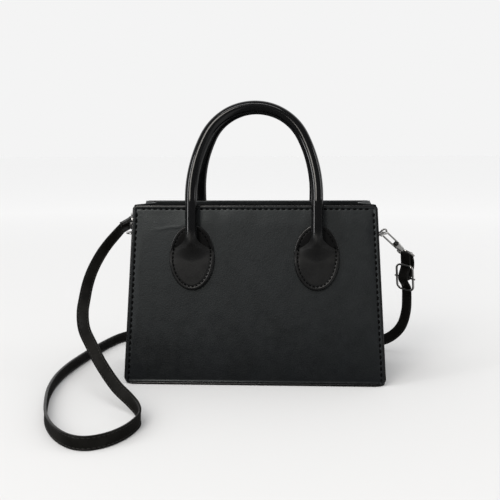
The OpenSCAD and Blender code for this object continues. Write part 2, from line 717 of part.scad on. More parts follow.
// The slider's bar, turned down at both ends where it passes through the frame
module slider_bar() color(metal_colour) on_strap_end(true)
    translate([slider_out, -slider_drop, 0]) {
        reach = slider_half + slider_wire_r + bar_ear;
        middle = slider_half - slider_wire_r - pin_gap;
        translate([0, 0, -middle]) cylinder(r = slider_bar_r, h = 2 * middle);
        translate([0, 0, -reach]) cylinder(r = bar_hole_r, h = 2 * reach);
        for (side = [0, 1]) mirror([0, 0, side])
            translate([0, 0, reach - bar_ear + pin_gap]) cylinder(r = slider_bar_r, h = bar_ear);
    }

// The left strap end: folded round the eye's bar and sewn back on itself
sewn_half = fold_t / 2 + layer_gap / 2;
meet_length = 7;
left_sewn_length = 17;
left_tail = -meet_length - left_sewn_length - 2;
left_line = concat(
    [[sewn_half, left_tail], [sewn_half, -meet_length]],
    [[(sewn_half + fold_line_r) / 2, -meet_length / 2]],
    [for (i = [0:strip_steps]) let (a = 180 * i / strip_steps) fold_line_r * [cos(a), sin(a)]],
    [[-(sewn_half + fold_line_r) / 2, -meet_length / 2]],
    [[-sewn_half, -meet_length], [-sewn_half, -meet_length - left_sewn_length]]);

module left_strap_loop() color(leather_colour) on_strap_end(false)
    translate([0, 0, -strap_width / 2]) linear_extrude(strap_width)
        polygon(strip(left_line, even(left_line, fold_t)));

// The strap's route: round numbers chosen by hand, between its two ends
function end_point(right, x, y) = eye_point(right)
    + x * cross(right ? right_up_shares : left_up_shares, right ? right_bar_shares : left_bar_shares)
    + y * (right ? right_up_shares : left_up_shares);
strap_route = [
    [-133, 4, 111], [-140, -9, 97], [-143, -23, 84], [-143, -38, 71], [-142, -49, 61],
    [-138, -60, 50], [-129, -73, 40], [-118, -88, 29], [-103, -105, 17], [-89, -119, 10],
    [-81, -131, 7], [-77, -144, 5.1], [-78, -159, 5.1], [-83, -175, 5.1], [-92, -188, 5.1],
    [-104, -194, 5.1], [-117, -189, 5.1], [-131, -173, 5.1], [-144, -148, 5.1], [-154, -116, 5.1],
    [-161, -86, 5.1], [-165, -54, 5.1], [-165, -22, 5.1], [-162, 8, 5.1], [-157, 40, 5.1],
    [-151, 70, 5.1], [-143, 96, 5.1], [-129, 114, 5.1], [-108, 122, 5.1], [-75, 122, 5.1],
    [-35, 117, 5.1], [10, 109, 5.1], [55, 99, 5.1], [90, 87, 5.4], [108, 79, 7.5],
    [121, 71, 12], [130, 63, 20], [136, 56, 31], [138.5, 50, 46],
];
strap_line = concat([end_point(false, sewn_half, left_tail)], strap_route,
                    [end_point(true, fold_line_r, right_tail)]);

// Which way the strap's width points along its route, as shares, at numbered places of the line
width_turns_shares = [
    [0, left_bar_shares], [5, [-1, -0.3, 0]], [8, [-0.57, -0.28, -0.77]], [12, [0, 0, -1]],
    [34, [0, 0, -1]], [37, [0.6, -0.5, -0.6]], [len(strap_line) - 1, -right_bar_shares],
];
function width_at(i) = [for (k = [0:2]) lookup(i, [for (s = width_turns_shares) [s[0], s[1][k]]])];

// A smooth curve through the points, with some rings between each pair
rings_between = 2;
function on_curve(p, i, t) = let (a = p[max(i - 1, 0)], b = p[i], c = p[i + 1], d = p[min(i + 2, len(p) - 1)])
    ((2 * b) + (c - a) * t + (2 * a - 5 * b + 4 * c - d) * t * t + (3 * b - a - 3 * c + d) * t * t * t) / 2;
curve = concat([for (i = [0:len(strap_line) - 2], k = [0:rings_between - 1])
                   on_curve(strap_line, i, k / rings_between)], [strap_line[len(strap_line) - 1]]);

// The section of the strap as a flat ring of eight points: shares of half its width and thickness
section_shares = [[1, 0.5], [0.86, 1], [-0.86, 1], [-1, 0.5], [-1, -0.5], [-0.86, -1], [0.86, -1], [1, -0.5]];
function ring_of(p, i) = let (
    last = len(p) - 1,
    ahead = i == 0 ? -left_up_shares : i == last ? right_up_shares : unit(p[i + 1] - p[i - 1]),
    wide = width_at(i / rings_between),
    w = unit(wide - (wide * ahead) * ahead),
    n = cross(w, ahead))
    [for (s = section_shares) p[i] + s[0] * strap_width / 2 * w + s[1] * strap_t / 2 * n];

module strap() color(leather_colour) skin([for (i = [0:len(curve) - 1]) ring_of(curve, i)]);

base_panel();
base_board();
base_lining();
front_panel();
rear_panel();
front_board();
rear_board();
left_gusset();
right_gusset();
front_lining();
rear_lining();
left_lining();
right_lining();
front_facing();
rear_facing();
slip_pocket();
front_magnet_washer();
rear_magnet_washer();
magnet_socket();
magnet_stud();
front_left_patch();
front_right_patch();
rear_left_patch();
rear_right_patch();
front_left_flare();
front_right_flare();
rear_left_flare();
rear_right_flare();
front_handle_cover();
front_handle_core();
rear_handle_cover();
rear_handle_core();
left_ring_tab();
right_ring_tab();
left_ring();
right_ring();
left_hook();
right_hook();
left_gate();
right_gate();
left_gate_pin();
right_gate_pin();
left_eye();
right_eye();
left_strap_loop();
right_strap_loop();
slider_frame();
slider_bar();
strap();
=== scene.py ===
"""A small structured leather bag with two rolled top handles and a long clip-on strap."""

import math

import bpy
import numpy as np
from mathutils import Matrix


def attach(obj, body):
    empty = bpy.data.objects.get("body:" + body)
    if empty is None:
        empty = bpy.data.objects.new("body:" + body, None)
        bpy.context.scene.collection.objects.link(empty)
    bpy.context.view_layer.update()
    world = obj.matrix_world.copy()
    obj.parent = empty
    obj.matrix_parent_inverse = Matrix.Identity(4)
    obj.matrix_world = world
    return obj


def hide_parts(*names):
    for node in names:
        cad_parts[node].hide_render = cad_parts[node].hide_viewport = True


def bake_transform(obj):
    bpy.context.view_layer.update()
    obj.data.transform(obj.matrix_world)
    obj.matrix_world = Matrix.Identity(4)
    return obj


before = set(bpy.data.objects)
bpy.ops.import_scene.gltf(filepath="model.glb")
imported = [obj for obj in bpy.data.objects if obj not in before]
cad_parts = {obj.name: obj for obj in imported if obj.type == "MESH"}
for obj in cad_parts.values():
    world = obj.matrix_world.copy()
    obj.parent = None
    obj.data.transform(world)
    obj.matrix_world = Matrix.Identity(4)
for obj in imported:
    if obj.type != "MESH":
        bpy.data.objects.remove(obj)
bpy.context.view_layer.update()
bpy.ops.object.select_all(action="DESELECT")

# Base: a 2 mm leather sole with pressed, painted edges, cut to the bag's full footprint. A fibre board
# is glued on it to keep the floor flat, and the walls are sewn to its rim.
base_width, base_depth, base_t, base_corner, welt, seat_gap = 220.0, 90.0, 2.0, 9.0, 0.6, 0.05


def new_material(name, roughness=0.5, metallic=0.0, specular=0.5):
    made = bpy.data.materials.new(name)
    made.use_nodes = True
    shader = made.node_tree.nodes["Principled BSDF"]
    shader.inputs["Roughness"].default_value = roughness
    shader.inputs["Metallic"].default_value = metallic
    shader.inputs["Specular IOR Level"].default_value = specular
    return made, shader


def add_node(material, kind, inputs, **settings):
    made = material.node_tree.nodes.new("ShaderNode" + kind)
    for key, value in settings.items():
        setattr(made, key, value)
    for socket, value in inputs.items():
        if isinstance(value, bpy.types.NodeSocket):
            material.node_tree.links.new(value, made.inputs[socket])
        else:
            made.inputs[socket].default_value = value
    return made


def feed(material, shader, sockets):
    for socket, output in sockets.items():
        material.node_tree.links.new(output, shader.inputs[socket])


def noise(material, place, scale, detail, roughness=0.5, distortion=0.0):
    return add_node(material, "TexNoise", {"Vector": place, "Scale": scale, "Detail": detail,
                                           "Roughness": roughness, "Distortion": distortion}).outputs["Fac"]


def mapped(material, value, low, high, from_low=0.0, from_high=1.0):
    return add_node(material, "MapRange", {"Value": value, "From Min": from_low, "From Max": from_high,
                                           "To Min": low, "To Max": high}).outputs["Result"]


def combined(material, operation, a, b):
    return add_node(material, "Math", {0: a, 1: b}, operation=operation).outputs["Value"]


def bumps(material, height, strength, distance, below=None):
    """The normals of a finish raised by a pattern's height, on top of a coarser pattern's normals."""
    inputs = {"Height": height, "Strength": strength, "Distance": distance}
    if below is not None:
        inputs["Normal"] = below
    return add_node(material, "Bump", inputs).outputs["Normal"]


def two_colours(material, fac, dark, light, low=0.35, high=0.65):
    ramp = add_node(material, "ValToRGB", {"Fac": fac})
    ramp.color_ramp.elements[0].position, ramp.color_ramp.elements[1].position = low, high
    ramp.color_ramp.elements[0].color, ramp.color_ramp.elements[1].color = (*dark, 1), (*light, 1)
    return ramp.outputs["Color"]


def leather_finish(name, dark, light, gloss, grain, specular=0.5, foot_gloss=1.0):
    """Pigmented calf: cloudy near-black colour, fine pebbled grain with pores, and an uneven wax polish.
    Roughness changes from foot_gloss times its value at the floor to the whole of it 65 mm up."""
    made, shader = new_material(name, specular=specular)
    place = add_node(made, "TexCoord", {}).outputs["Object"]
    clouds = noise(made, place, 38, 5, 0.6)
    polish = mapped(made, noise(made, place, 120, 4, 0.65), gloss - 0.07, gloss + 0.07, 0.3, 0.7)
    height = add_node(made, "SeparateXYZ", {"Vector": place}).outputs["Z"]
    waxed = combined(made, "MULTIPLY", polish, mapped(made, height, foot_gloss, 1, 0, 0.065))
    creased = bumps(made, noise(made, place, 210, 5, distortion=0.6), 0.5 * grain, 0.0006)
    pebbles = add_node(made, "TexVoronoi", {"Vector": place, "Scale": 950}, feature="SMOOTH_F1")
    pebbled = bumps(made, pebbles.outputs["Distance"], grain, 0.0003, creased)
    pores = noise(made, place, 2600, 3)
    feed(made, shader, {"Base Color": two_colours(made, clouds, dark, light), "Roughness": waxed,
                        "Normal": bumps(made, pores, 0.6 * grain, 0.0001, pebbled)})
    return made


leather = leather_finish("black_calf", (0.0018, 0.0021, 0.0027), (0.0036, 0.0041, 0.0052), gloss=0.48,
                         grain=0.24, specular=0.79, foot_gloss=0.72)
leather.node_tree.nodes["Principled BSDF"].inputs["Specular Tint"].default_value = (0.91, 0.98, 1.0, 1)
burnished = leather_finish("burnished_edge", (0.0018, 0.0018, 0.0020), (0.0034, 0.0034, 0.0037),
                           gloss=0.30, grain=0.08, specular=0.6)


def fibre_finish(name, dark, light, scale):
    """Fibres pressed to board or laid to rope: mottled, with flecks and a matt, slightly rough face."""
    made, shader = new_material(name, 0.85, specular=0.25)
    place = add_node(made, "TexCoord", {}).outputs["Object"]
    flecks = noise(made, place, scale, 8, 0.75)
    feed(made, shader, {"Base Color": two_colours(made, flecks, dark, light, 0.3, 0.7),
                        "Normal": bumps(made, flecks, 0.4, 0.0003)})
    return made


board = fibre_finish("fibre_board", (0.16, 0.125, 0.08), (0.30, 0.25, 0.17), 420)


def finish_piece(piece, material, body, slot, *stands_for):
    piece.data.materials.clear()
    piece.data.materials.append(material)
    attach(piece, body)
    if stands_for:
        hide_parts(*stands_for)
    return piece


def keep_node(name, material):
    """Gives a CAD node its finish and leaves its shape alone."""
    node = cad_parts[name]
    for held in node.material_slots:
        held.material = material
    if not node.material_slots:
        node.data.materials.append(material)


def pick_edges(piece, wanted):
    """Selects the edges whose two ends wanted() accepts, in edit mode."""
    bpy.ops.object.mode_set(mode="EDIT")
    bpy.ops.mesh.select_mode(type="EDGE")
    bpy.ops.mesh.select_all(action="DESELECT")
    bpy.ops.object.mode_set(mode="OBJECT")
    for edge in piece.data.edges:
        edge.select = wanted(*(piece.data.vertices[v].co for v in edge.vertices))
    bpy.ops.object.mode_set(mode="EDIT")


bpy.ops.mesh.primitive_cube_add(size=1, location=(0, 0, base_t / 2000),
                                scale=((base_width - 1.0) / 1000, (base_depth + 2 * welt) / 1000,
                                       base_t / 1000))
base = bpy.context.object
base.name = base.data.name = "base_leather"
bpy.ops.object.transform_apply(location=True, rotation=True, scale=True)
pick_edges(base, lambda a, b: abs(a.z - b.z) > 0.001)
bpy.ops.mesh.bevel(offset=base_corner / 1000, segments=8)
bpy.ops.object.mode_set(mode="OBJECT")
pick_edges(base, lambda a, b: abs(a.z - b.z) < 1e-6)
bpy.ops.mesh.bevel(offset=0.00095, segments=6)
bpy.ops.mesh.select_all(action="DESELECT")
bpy.ops.object.mode_set(mode="OBJECT")
bpy.ops.object.shade_smooth_by_angle(angle=math.radians(40))
finish_piece(base, burnished, "bag", "leather", "base_panel")
keep_node("base_board", board)

# Front and rear walls: a leather panel with its edges turned over, stiffened by a thin board behind it.
# One row of heavy black thread runs inside the top edge and down both sides, and pulls a groove.
bag_height, top_width, top_depth, leather_t = 150.0, 204.0, 58.0, 1.6
front_lean = math.atan((base_depth - top_depth) / 2 / bag_height)
side_lean = math.atan((base_width - top_width) / 2 / bag_height)
front_cos, front_sin, side_cos, side_sin = (turn(lean) for lean in (front_lean, side_lean)
                                            for turn in (math.cos, math.sin))
slope_height = bag_height / front_cos
panel_corner, seam_inset, seam_pitch, wall_stitch, wall_thread_r = 4.0, 3.6, 4.9, 4.2, 1.0


def panel_half(s):
    return base_width / 2 - (base_width - top_width) / 2 * s / slope_height


def turned_round(points, rear):
    """The same points, or their mirror image at the rear of the bag."""
    return points * (1, -1, 1) if rear else points


def on_wall(x, s, out, rear=False):
    """Points at x across, s up the wall's slope and out from its face, in millimetres."""
    x, s, out = np.broadcast_arrays(np.asarray(x, float), s, out)
    y = -base_depth / 2 + s * front_sin - out * front_cos
    return turned_round(np.stack([x, y, s * front_cos + out * front_sin], -1), rear)


def wall_ways(rear):
    """The directions up a wall's slope and out of its face."""
    return turned_round(np.array([[0, front_sin, front_cos], [0, -front_cos, front_sin]]), rear)


def ease(value, low, high):
    t = np.clip((value - low) / (high - low), 0, 1)
    return t * t * (3 - 2 * t)


def turned_half(inset, t):
    """Half the thickness of a sheet at a distance in from its turned edge."""
    reach = np.clip(inset / min(0.9, t), 0, 1)
    return t / 2 * (0.12 + 0.88 * np.sqrt(1 - (1 - reach) ** 2))


def grid_faces(rows, cols, around=False):
    at = np.arange(rows * cols).reshape(rows, cols)
    right = np.roll(at, -1, 1) if around else at[:, 1:]
    left = at if around else at[:, :-1]
    return np.stack([left[:-1], right[:-1], right[1:], left[1:]], -1).reshape(-1, 4)


def mesh_piece(name, points, faces, uv=None):
    """A smooth closed piece from points in millimetres, with its faces turned outwards."""
    mesh = bpy.data.meshes.new(name)
    mesh.from_pydata((np.asarray(points).reshape(-1, 3) / 1000).tolist(), [], faces)
    mesh.validate()
    if uv is not None:
        layer = mesh.uv_layers.new(name="UVMap")
        corners = np.empty(len(mesh.loops), np.int32)
        mesh.loops.foreach_get("vertex_index", corners)
        layer.data.foreach_set("uv", np.asarray(uv, np.float32).reshape(-1, 2)[corners].ravel())
    mesh.shade_smooth()
    piece = bpy.data.objects.new(name, mesh)
    bpy.context.scene.collection.objects.link(piece)
    bpy.context.view_layer.objects.active = piece
    piece.select_set(True)
    bpy.ops.object.mode_set(mode="EDIT")
    bpy.ops.mesh.select_all(action="SELECT")
    bpy.ops.mesh.normals_make_consistent(inside=False)
    bpy.ops.object.mode_set(mode="OBJECT")
    piece.select_set(False)
    return piece


def closed_sheet(name, outer, inner, uv=None):
    """A sheet with two faces, given as grids of points that share their border's line."""
    rows, cols = outer.shape[:2]
    count = rows * cols
    at = np.arange(count).reshape(rows, cols)
    border = np.concatenate([at[0, :-1], at[:-1, -1], at[-1, :0:-1], at[:0:-1, 0]])
    ahead = np.roll(border, -1)
    face = grid_faces(rows, cols)
    rim = np.stack([border, border + count, ahead + count, ahead], -1)
    faces = np.concatenate([face, face[:, ::-1] + count, rim]).tolist()
    both = None if uv is None else np.concatenate([uv.reshape(-1, 2)] * 2)
    return mesh_piece(name, np.concatenate([outer.reshape(-1, 3), inner.reshape(-1, 3)]), faces, both)


def stitches(name, middles, alongs, outs, length, thread_r):
    """A row of stitches: each a short bow of thread whose two ends sink into the leather."""
    shape = [(-0.5, 0.45, -1.0), (-0.36, 0.95, -0.25), (0, 1, 0.15), (0.36, 0.95, -0.25), (0.5, 0.45, -1.0)]
    sides, rings = 6, len(shape)
    middles, alongs, outs = (np.asarray(a, float) for a in (middles, alongs, outs))
    across = np.cross(alongs, outs)
    turn = math.radians(6)
    ahead = alongs * math.cos(turn) + across * math.sin(turn)
    beside = np.cross(ahead, outs)
    points, uv = [], []
    for t, fat, rise in shape:
        centre = middles + ahead * (t * length) + outs * (rise * thread_r)
        for k in range(sides):
            a = 2 * math.pi * k / sides
            points.append(centre + thread_r * fat * (math.cos(a) * beside + math.sin(a) * outs))
            uv.append((t * length / (2 * thread_r), k / sides))
    points = np.stack(points, 1)
    one = grid_faces(rings, sides, True)
    steps = np.arange(len(middles)) * rings * sides
    faces = (steps[:, None, None] + one).reshape(-1, 4).tolist()
    for step in steps.tolist():
        faces.append(list(range(step, step + sides)))
        faces.append(list(range(step + rings * sides - 1, step + (rings - 1) * sides - 1, -1)))
    return mesh_piece(name, points, faces, np.tile(np.array(uv), (len(middles), 1)))


def thread_finish(name, dark, light, specular):
    """Bonded nylon thread: two twisted plies with a low sheen."""
    made, shader = new_material(name, 0.6, specular=specular)
    way = add_node(made, "UVMap", {}, uv_map="UVMap").outputs["UV"]
    plies = add_node(made, "TexWave", {"Vector": way, "Scale": 1.2, "Distortion": 0.4},
                     bands_direction="DIAGONAL").outputs["Fac"]
    feed(made, shader, {"Base Color": two_colours(made, plies, dark, light, 0.2, 0.8),
                        "Normal": bumps(made, plies, 0.6, 0.0001)})
    return made


thread = thread_finish("black_thread", (0.0008, 0.0008, 0.0009), (0.0030, 0.0030, 0.0033), 0.06)


def sew(name, *row):
    """Sews a row of black stitches through the leather."""
    finish_piece(stitches(name, *row), thread, "bag", "leather")



side_steps = np.array([0, 0.07, 0.25, 0.5, 0.8, 1.2, 1.7, 2.2, 2.6, 2.9, 3.15, 3.4, 3.6, 3.8, 4.05, 4.3,
                       4.6, 5, 5.5, 6.2, 7, 8])
low_steps = np.array([0, 0.07, 0.25, 0.5, 0.8, 1.2, 1.8, 2.6, 3.6])


def wall_foot(s):
    """How much thinner the wall's leather is towards the base."""
    return 1.25 * np.clip((58 - s) / 56, 0, 1) ** 2


def spread(half, steps, count):
    """Places across each row of a sheet, close together at its two side edges."""
    between = np.linspace(-1, 1, count)[None, 1:-1] * (half - steps[-1])
    return np.concatenate([-half + steps, between, half - steps[::-1]], 1)


def rounded_half(half, s, low, high, corner):
    """Half the width of a sheet at s, when its corners between low and high are rounded."""
    near_end = np.clip(np.maximum(s - (high - corner), low + corner - s), 0, corner)
    return half - corner + np.sqrt(corner ** 2 - near_end ** 2)


def panel_relief(x, s, inset, drop, side_in):
    """How far the outer face lies from the wall's plane: pared down at the seam, with a padded rim
    outside the stitches, and rising to full thickness below them along an uneven line."""
    along = np.where(drop < side_in, x, s)
    rim = 0.55 * np.sin(math.pi * np.clip(inset / seam_inset, 0, 1)) ** 0.8
    pull = 0.5 + 0.5 * np.cos(2 * math.pi * along / seam_pitch)
    groove = (0.10 + 0.30 * pull) * np.exp(-((inset - seam_inset) / 0.9) ** 2)
    border = (14.5 + 1.7 * np.sin(x / 13) + 1.2 * np.sin(x / 5.3 + 1) + 0.5 * np.sin(x / 2.6)
              + 0.36 * np.maximum(0, -58 - x))
    top = (0.070 - 0.045 * ease(-x, 50, 95)) * 1.8 * np.log1p(np.exp((border - drop) / 1.8))
    side = 0.5 * (1 - ease(side_in, seam_inset, 9 + np.sin(s / 9)))
    calm = 0.14 * np.sin(x / 37 + 0.7) * np.sin(s / 29 + 0.3) + 0.05 * np.sin(x / 15 + s / 21)
    foot = wall_foot(s)
    crease = 0.20 * np.exp(-((drop - border + 1.2) / 1.0) ** 2) * ease(-x, 58, 64) * (1 - ease(-x, 74, 90))
    return rim - groove - np.maximum(np.maximum(top, side), foot) + calm * ease(inset, 4, 16) + crease


def wall_panel(name, rear):
    low = base_t / front_cos + seat_gap
    rows = np.concatenate([low + low_steps, np.arange(low + 5.2, slope_height - 26, 2.2),
                           np.arange(slope_height - 25, slope_height - 8.2, 0.9),
                           (slope_height - side_steps)[::-1]])
    s = rows[:, None]
    x = spread(rounded_half(panel_half(s), s, low, slope_height, panel_corner), side_steps, 241)
    s = np.broadcast_to(s, x.shape)
    drop, side_in = slope_height - s, panel_half(s) - np.abs(x)
    corner_x = panel_corner - side_in
    corner_s = np.maximum(s - (slope_height - panel_corner), low + panel_corner - s)
    round_in = panel_corner - np.hypot(corner_x, corner_s)
    inset = np.where((corner_x > 0) & (corner_s > 0), round_in, np.minimum(side_in, drop))
    half_t = turned_half(np.minimum(inset, (s - low) * 0.4), leather_t)
    relief = panel_relief(x, s, inset, drop, side_in) * ease(s - low, -1, 2)
    return closed_sheet(name, on_wall(x, s, -leather_t / 2 + half_t + relief, rear),
                        on_wall(x, s, -leather_t / 2 - half_t, rear))


def wall_seam(name, rear):
    """The row of stitches along the top edge and both sides of a wall."""
    up, out = wall_ways(rear)
    top_x = np.arange(-19, 20) * seam_pitch
    side_s = np.arange(1, 30) * seam_pitch
    middles = [on_wall(top_x, slope_height - seam_inset, -1.30, rear)]
    alongs = [np.tile([1.0, 0, 0], (len(top_x), 1))]
    for side in (-1, 1):
        sunk = -0.88 - np.maximum(wall_foot(side_s) - 0.5, 0)
        middles.append(on_wall(side * (panel_half(side_s) - seam_inset), side_s, sunk, rear))
        alongs.append(np.tile(up * side_cos + [-side * side_sin, 0, 0], (len(side_s), 1)))
    sew(name, np.concatenate(middles), np.concatenate(alongs), out, wall_stitch, wall_thread_r)


def paint_edge(piece, inset, reach):
    """Burnishes the faces of a piece on a wall that lie closer to its edge than reach."""
    piece.data.materials.append(burnished)
    for face in piece.data.polygons:
        x, s = face.center.x * 1000, face.center.z * 1000 / front_cos
        face.material_index = int(inset(x, s) < reach)


walls = (("front", False), ("rear", True))
for where, rear in walls:
    wall = wall_panel(where + "_wall_leather", rear)
    finish_piece(wall, leather, "bag", "leather", where + "_panel")
    paint_edge(wall, lambda x, s: min(panel_half(s) - abs(x), slope_height - s), 1.6)
    wall_seam(where + "_wall_stitches", rear)
    keep_node(where + "_board", board)

# Side gussets: one piece of the same leather at each side, its edges turned in behind the walls' edges.
# Near the mouth it folds inwards along its middle, as the handles draw the walls together.
gusset_inset, layer_gap = 1.0, 0.1
fold_depth, fold_height = 12.0, 34.0
fold_start = bag_height - fold_height
edge_steps = low_steps[:-2]


def room_half(z, inside):
    """Half the depth between the walls at height z, less what lines each of them."""
    return base_depth / 2 - z * math.tan(front_lean) - (leather_t + layer_gap + inside) / front_cos


def gusset_x(u, z, inside):
    folded = fold_depth * np.clip((z - fold_start) / fold_height, 0, 1) ** 2
    return (base_width / 2 - gusset_inset - inside / side_cos - z * math.tan(side_lean)
            - folded * np.cos(math.pi / 2 * np.clip(np.abs(u), 0, 1)) ** 2)


def sheet_rows(low, high):
    """Heights up a sheet in one column, close together at its lower and upper edge."""
    between = np.arange(low + 3.5, high - 3, 2)
    return np.concatenate([low + edge_steps, between, (high - edge_steps)[::-1]])[:, None]


def gusset_sheet(name, side, low, high, inside, t, room, slack):
    """A sheet that follows a gusset's fold, inside mm below its outer face."""
    z = sheet_rows(low, high)
    y = spread(room_half(z, room), edge_steps, 45)
    z = np.broadcast_to(z, y.shape)
    inset = np.minimum(room_half(z, room) - np.abs(y), np.minimum(z - low, high - z))
    half_t = turned_half(inset, t)
    u = y / room_half(z, 0)
    ripple = slack * np.sin(z / 13 + 0.4) * np.sin(y / 11 + z / 40) * ease(inset, 1, 8)
    middle_x = gusset_x(u, z, inside + t / 2) + ripple
    outer, inner = (np.stack([side * (middle_x + out), y, z], -1) for out in (half_t, -half_t))
    return closed_sheet(name, outer, inner, np.stack([y, z], -1) / 1000)


both_sides = (("left", -1), ("right", 1))
for where, side in both_sides:
    gusset = gusset_sheet(where + "_gusset_leather", side, base_t + seat_gap, bag_height - 0.1, 0,
                          leather_t, 0, 0.12)
    finish_piece(gusset, leather, "bag", "leather", where + "_gusset")

# Lining: thin woven cloth on both walls, both gussets and the floor, cut to stop at the leather facings,
# and a slip pocket of the same cloth sewn on the rear wall's lining, with a folded hem.
board_t, floor_board_t, lining_t, facing_height, facing_t, board_margin = 0.8, 2.0, 0.6, 30.0, 1.2, 9.0
floor_top = base_t + floor_board_t + lining_t + 3 * layer_gap
facing_back = leather_t + board_t + 2 * layer_gap
lined_in = board_t + lining_t + 2 * layer_gap
pocket_t, cloth_pitch = 0.8, 0.0005  # the pitch in metres, the unit of the cloth's UV map

lining, cloth_shader = new_material("grey_lining", 0.75, specular=0.3)
cloth_way = add_node(lining, "UVMap", {}, uv_map="UVMap").outputs["UV"]
warp, weft = (add_node(lining, "TexWave", {"Vector": cloth_way, "Scale": 1 / cloth_pitch / 6.283,
                                           "Distortion": 0.2}, bands_direction=across).outputs["Fac"]
              for across in "XY")
weave = combined(lining, "MULTIPLY", warp, weft)
woven = two_colours(lining, weave, (0.008, 0.008, 0.0095), (0.022, 0.022, 0.026), 0.1, 0.8)
feed(lining, cloth_shader, {"Base Color": woven, "Normal": bumps(lining, weave, 0.5, 0.0002)})
cloth_shader.inputs["Sheen Weight"].default_value = 0.25


def wall_sheet(name, rear, depth, t, low, high, margin, corner, slack, square_half=None, hem=0.0):
    """A flat layer inside a wall, depth mm behind its outer face, with rounded edges and some slack."""
    s = sheet_rows(low, high)
    full = panel_half(s) - margin if square_half is None else square_half + 0 * s
    half = rounded_half(full, s, low, high, corner)
    x = spread(half, edge_steps, 61)
    s = np.broadcast_to(s, x.shape)
    inset = np.minimum(half - np.abs(x), np.minimum(s - low, high - s))
    half_t = turned_half(inset, t)
    sag = slack * (0.5 + 0.5 * np.sin(x / 19 + 1) * np.sin(s / 17)) * ease(inset, 1, 12)
    roll = hem * np.exp(-(((high - s) - 2.2) / 1.6) ** 2) * ease(inset, 0, 1)
    middle = -depth - t / 2
    outer = on_wall(x, s, middle + half_t - sag, rear)
    inner = on_wall(x, s, middle - half_t - sag - roll, rear)
    return closed_sheet(name, outer, inner, np.stack([x, s], -1) / 1000)


for where, rear in walls:
    cloth = wall_sheet(where + "_lining_cloth", rear, facing_back, lining_t, floor_top + 0.1,
                       slope_height - facing_height - layer_gap, board_margin, 4, 0.0 if rear else 0.25)
    finish_piece(cloth, lining, "bag", "lining", where + "_lining")
for where, side in both_sides:
    cloth = gusset_sheet(where + "_lining_cloth", side, floor_top, bag_height - 2 * leather_t,
                         leather_t + 0.3, lining_t, lined_in, 0.08)
    finish_piece(cloth, lining, "bag", "lining", where + "_lining")
pocket = wall_sheet("slip_pocket_cloth", True, leather_t + lined_in + layer_gap, pocket_t,
                    floor_top + 22, floor_top + 100, 0, 6, 0.3, 60.0, 0.5)
finish_piece(pocket, lining, "bag", "lining", "slip_pocket")
side_room = gusset_inset + leather_t + layer_gap + lining_t + 3 * layer_gap
floor_x = np.linspace(-1, 1, 60)[None, :] * (base_width / 2 - side_room)
floor_y = np.linspace(-1, 1, 30)[:, None] * room_half(floor_top, lined_in)
floor_low = base_t + floor_board_t + 2 * layer_gap
floor_cloth = closed_sheet("base_lining_cloth",
                           *(np.stack(np.broadcast_arrays(floor_x, floor_y, z), -1)
                             for z in (floor_low + lining_t, floor_low)),
                           np.stack(np.broadcast_arrays(floor_x, floor_y), -1) / 1000)
finish_piece(floor_cloth, lining, "bag", "lining", "base_lining")

# Facings: a leather strip inside each wall's top edge, sewn along its foot to the lining, that carries
# one half of a magnetic snap. Behind each half a washer is riveted through the board. The snap is
# nickel plated, with fine hairlines and faint cloudy wear.
facing_seam, facing_stitch, facing_thread_r, nickel_gloss = 2.4, 3.5, 0.36, 0.14

nickel, nickel_shader = new_material("polished_nickel", nickel_gloss, 1.0)
place = add_node(nickel, "TexCoord", {}).outputs["Object"]
wear = noise(nickel, place, 330, 6, 0.7)
feed(nickel, nickel_shader, {
    "Base Color": two_colours(nickel, wear, (0.56, 0.55, 0.54), (0.74, 0.73, 0.71)),
    "Roughness": mapped(nickel, wear, nickel_gloss * 0.7, nickel_gloss * 1.5, 0.3, 0.7),
    "Normal": bumps(nickel, noise(nickel, place, 1900, 2), 0.05, 0.0001)})
for where, rear in walls:
    facing = wall_sheet(where + "_facing_leather", rear, facing_back, facing_t,
                        slope_height - facing_height, slope_height - layer_gap, board_margin, 4, 0.0)
    finish_piece(facing, leather, "bag", "leather", where + "_facing")
    for row, s in (("foot", slope_height - facing_height + facing_seam), ("head", slope_height - seam_inset)):
        middles = on_wall(np.arange(-17, 18) * seam_pitch, s, -facing_back - facing_t - 0.05, rear)
        sew(f"{where}_facing_{row}_stitches", middles, [1.0, 0, 0], -wall_ways(rear)[1], facing_stitch,
            facing_thread_r)
for name in ("front_magnet_washer", "rear_magnet_washer", "magnet_socket", "magnet_stud"):
    keep_node(name, nickel)

# Handle tabs: an oval backing patch on each wall under each handle end, a little larger than the end
# that is sewn over it, with a rolled painted edge. Its own stitches show above the handle end.
tab_x, tab_s, tab_width, tab_height, patch_t = 52.0, slope_height - 44.0, 38.0, 55.0, 1.2
tab_seam, tab_pitch, tab_stitch, patch_thread_r, shoulder_seam = 3.0, 3.3, 2.3, 0.48, 11.0
tab_edge = np.array([0, 0.07, 0.22, 0.45, 0.75, 1.1, 1.5, 1.9, 2.25, 2.55, 2.8, 3.0, 3.2, 3.45, 3.75, 4.1,
                     4.6, 5.4, 6.6, 8.2, 10.5, 13, 16, 18.6])
tab_half = np.array([tab_width, tab_height]) / 2
around = np.linspace(0, 2 * math.pi, 96, endpoint=False)


def oval_inset(x, v, half_width, half_height):
    """How far a point lies inside an oval's edge."""
    share = np.sqrt((x / half_width) ** 2 + (v / half_height) ** 2)
    steep = np.sqrt((x / half_width ** 2) ** 2 + (v / half_height ** 2) ** 2) / np.maximum(share, 1e-6)
    return (1 - share) / np.maximum(steep, 1e-6)


def oval_rim(inset):
    """The rolled rim of an oval and the groove that its stitches pull."""
    rim = 0.5 * np.sin(math.pi * np.clip(inset / tab_seam, 0, 1)) ** 0.8
    return rim - 0.42 * np.exp(-((inset - tab_seam) / 0.5) ** 2)


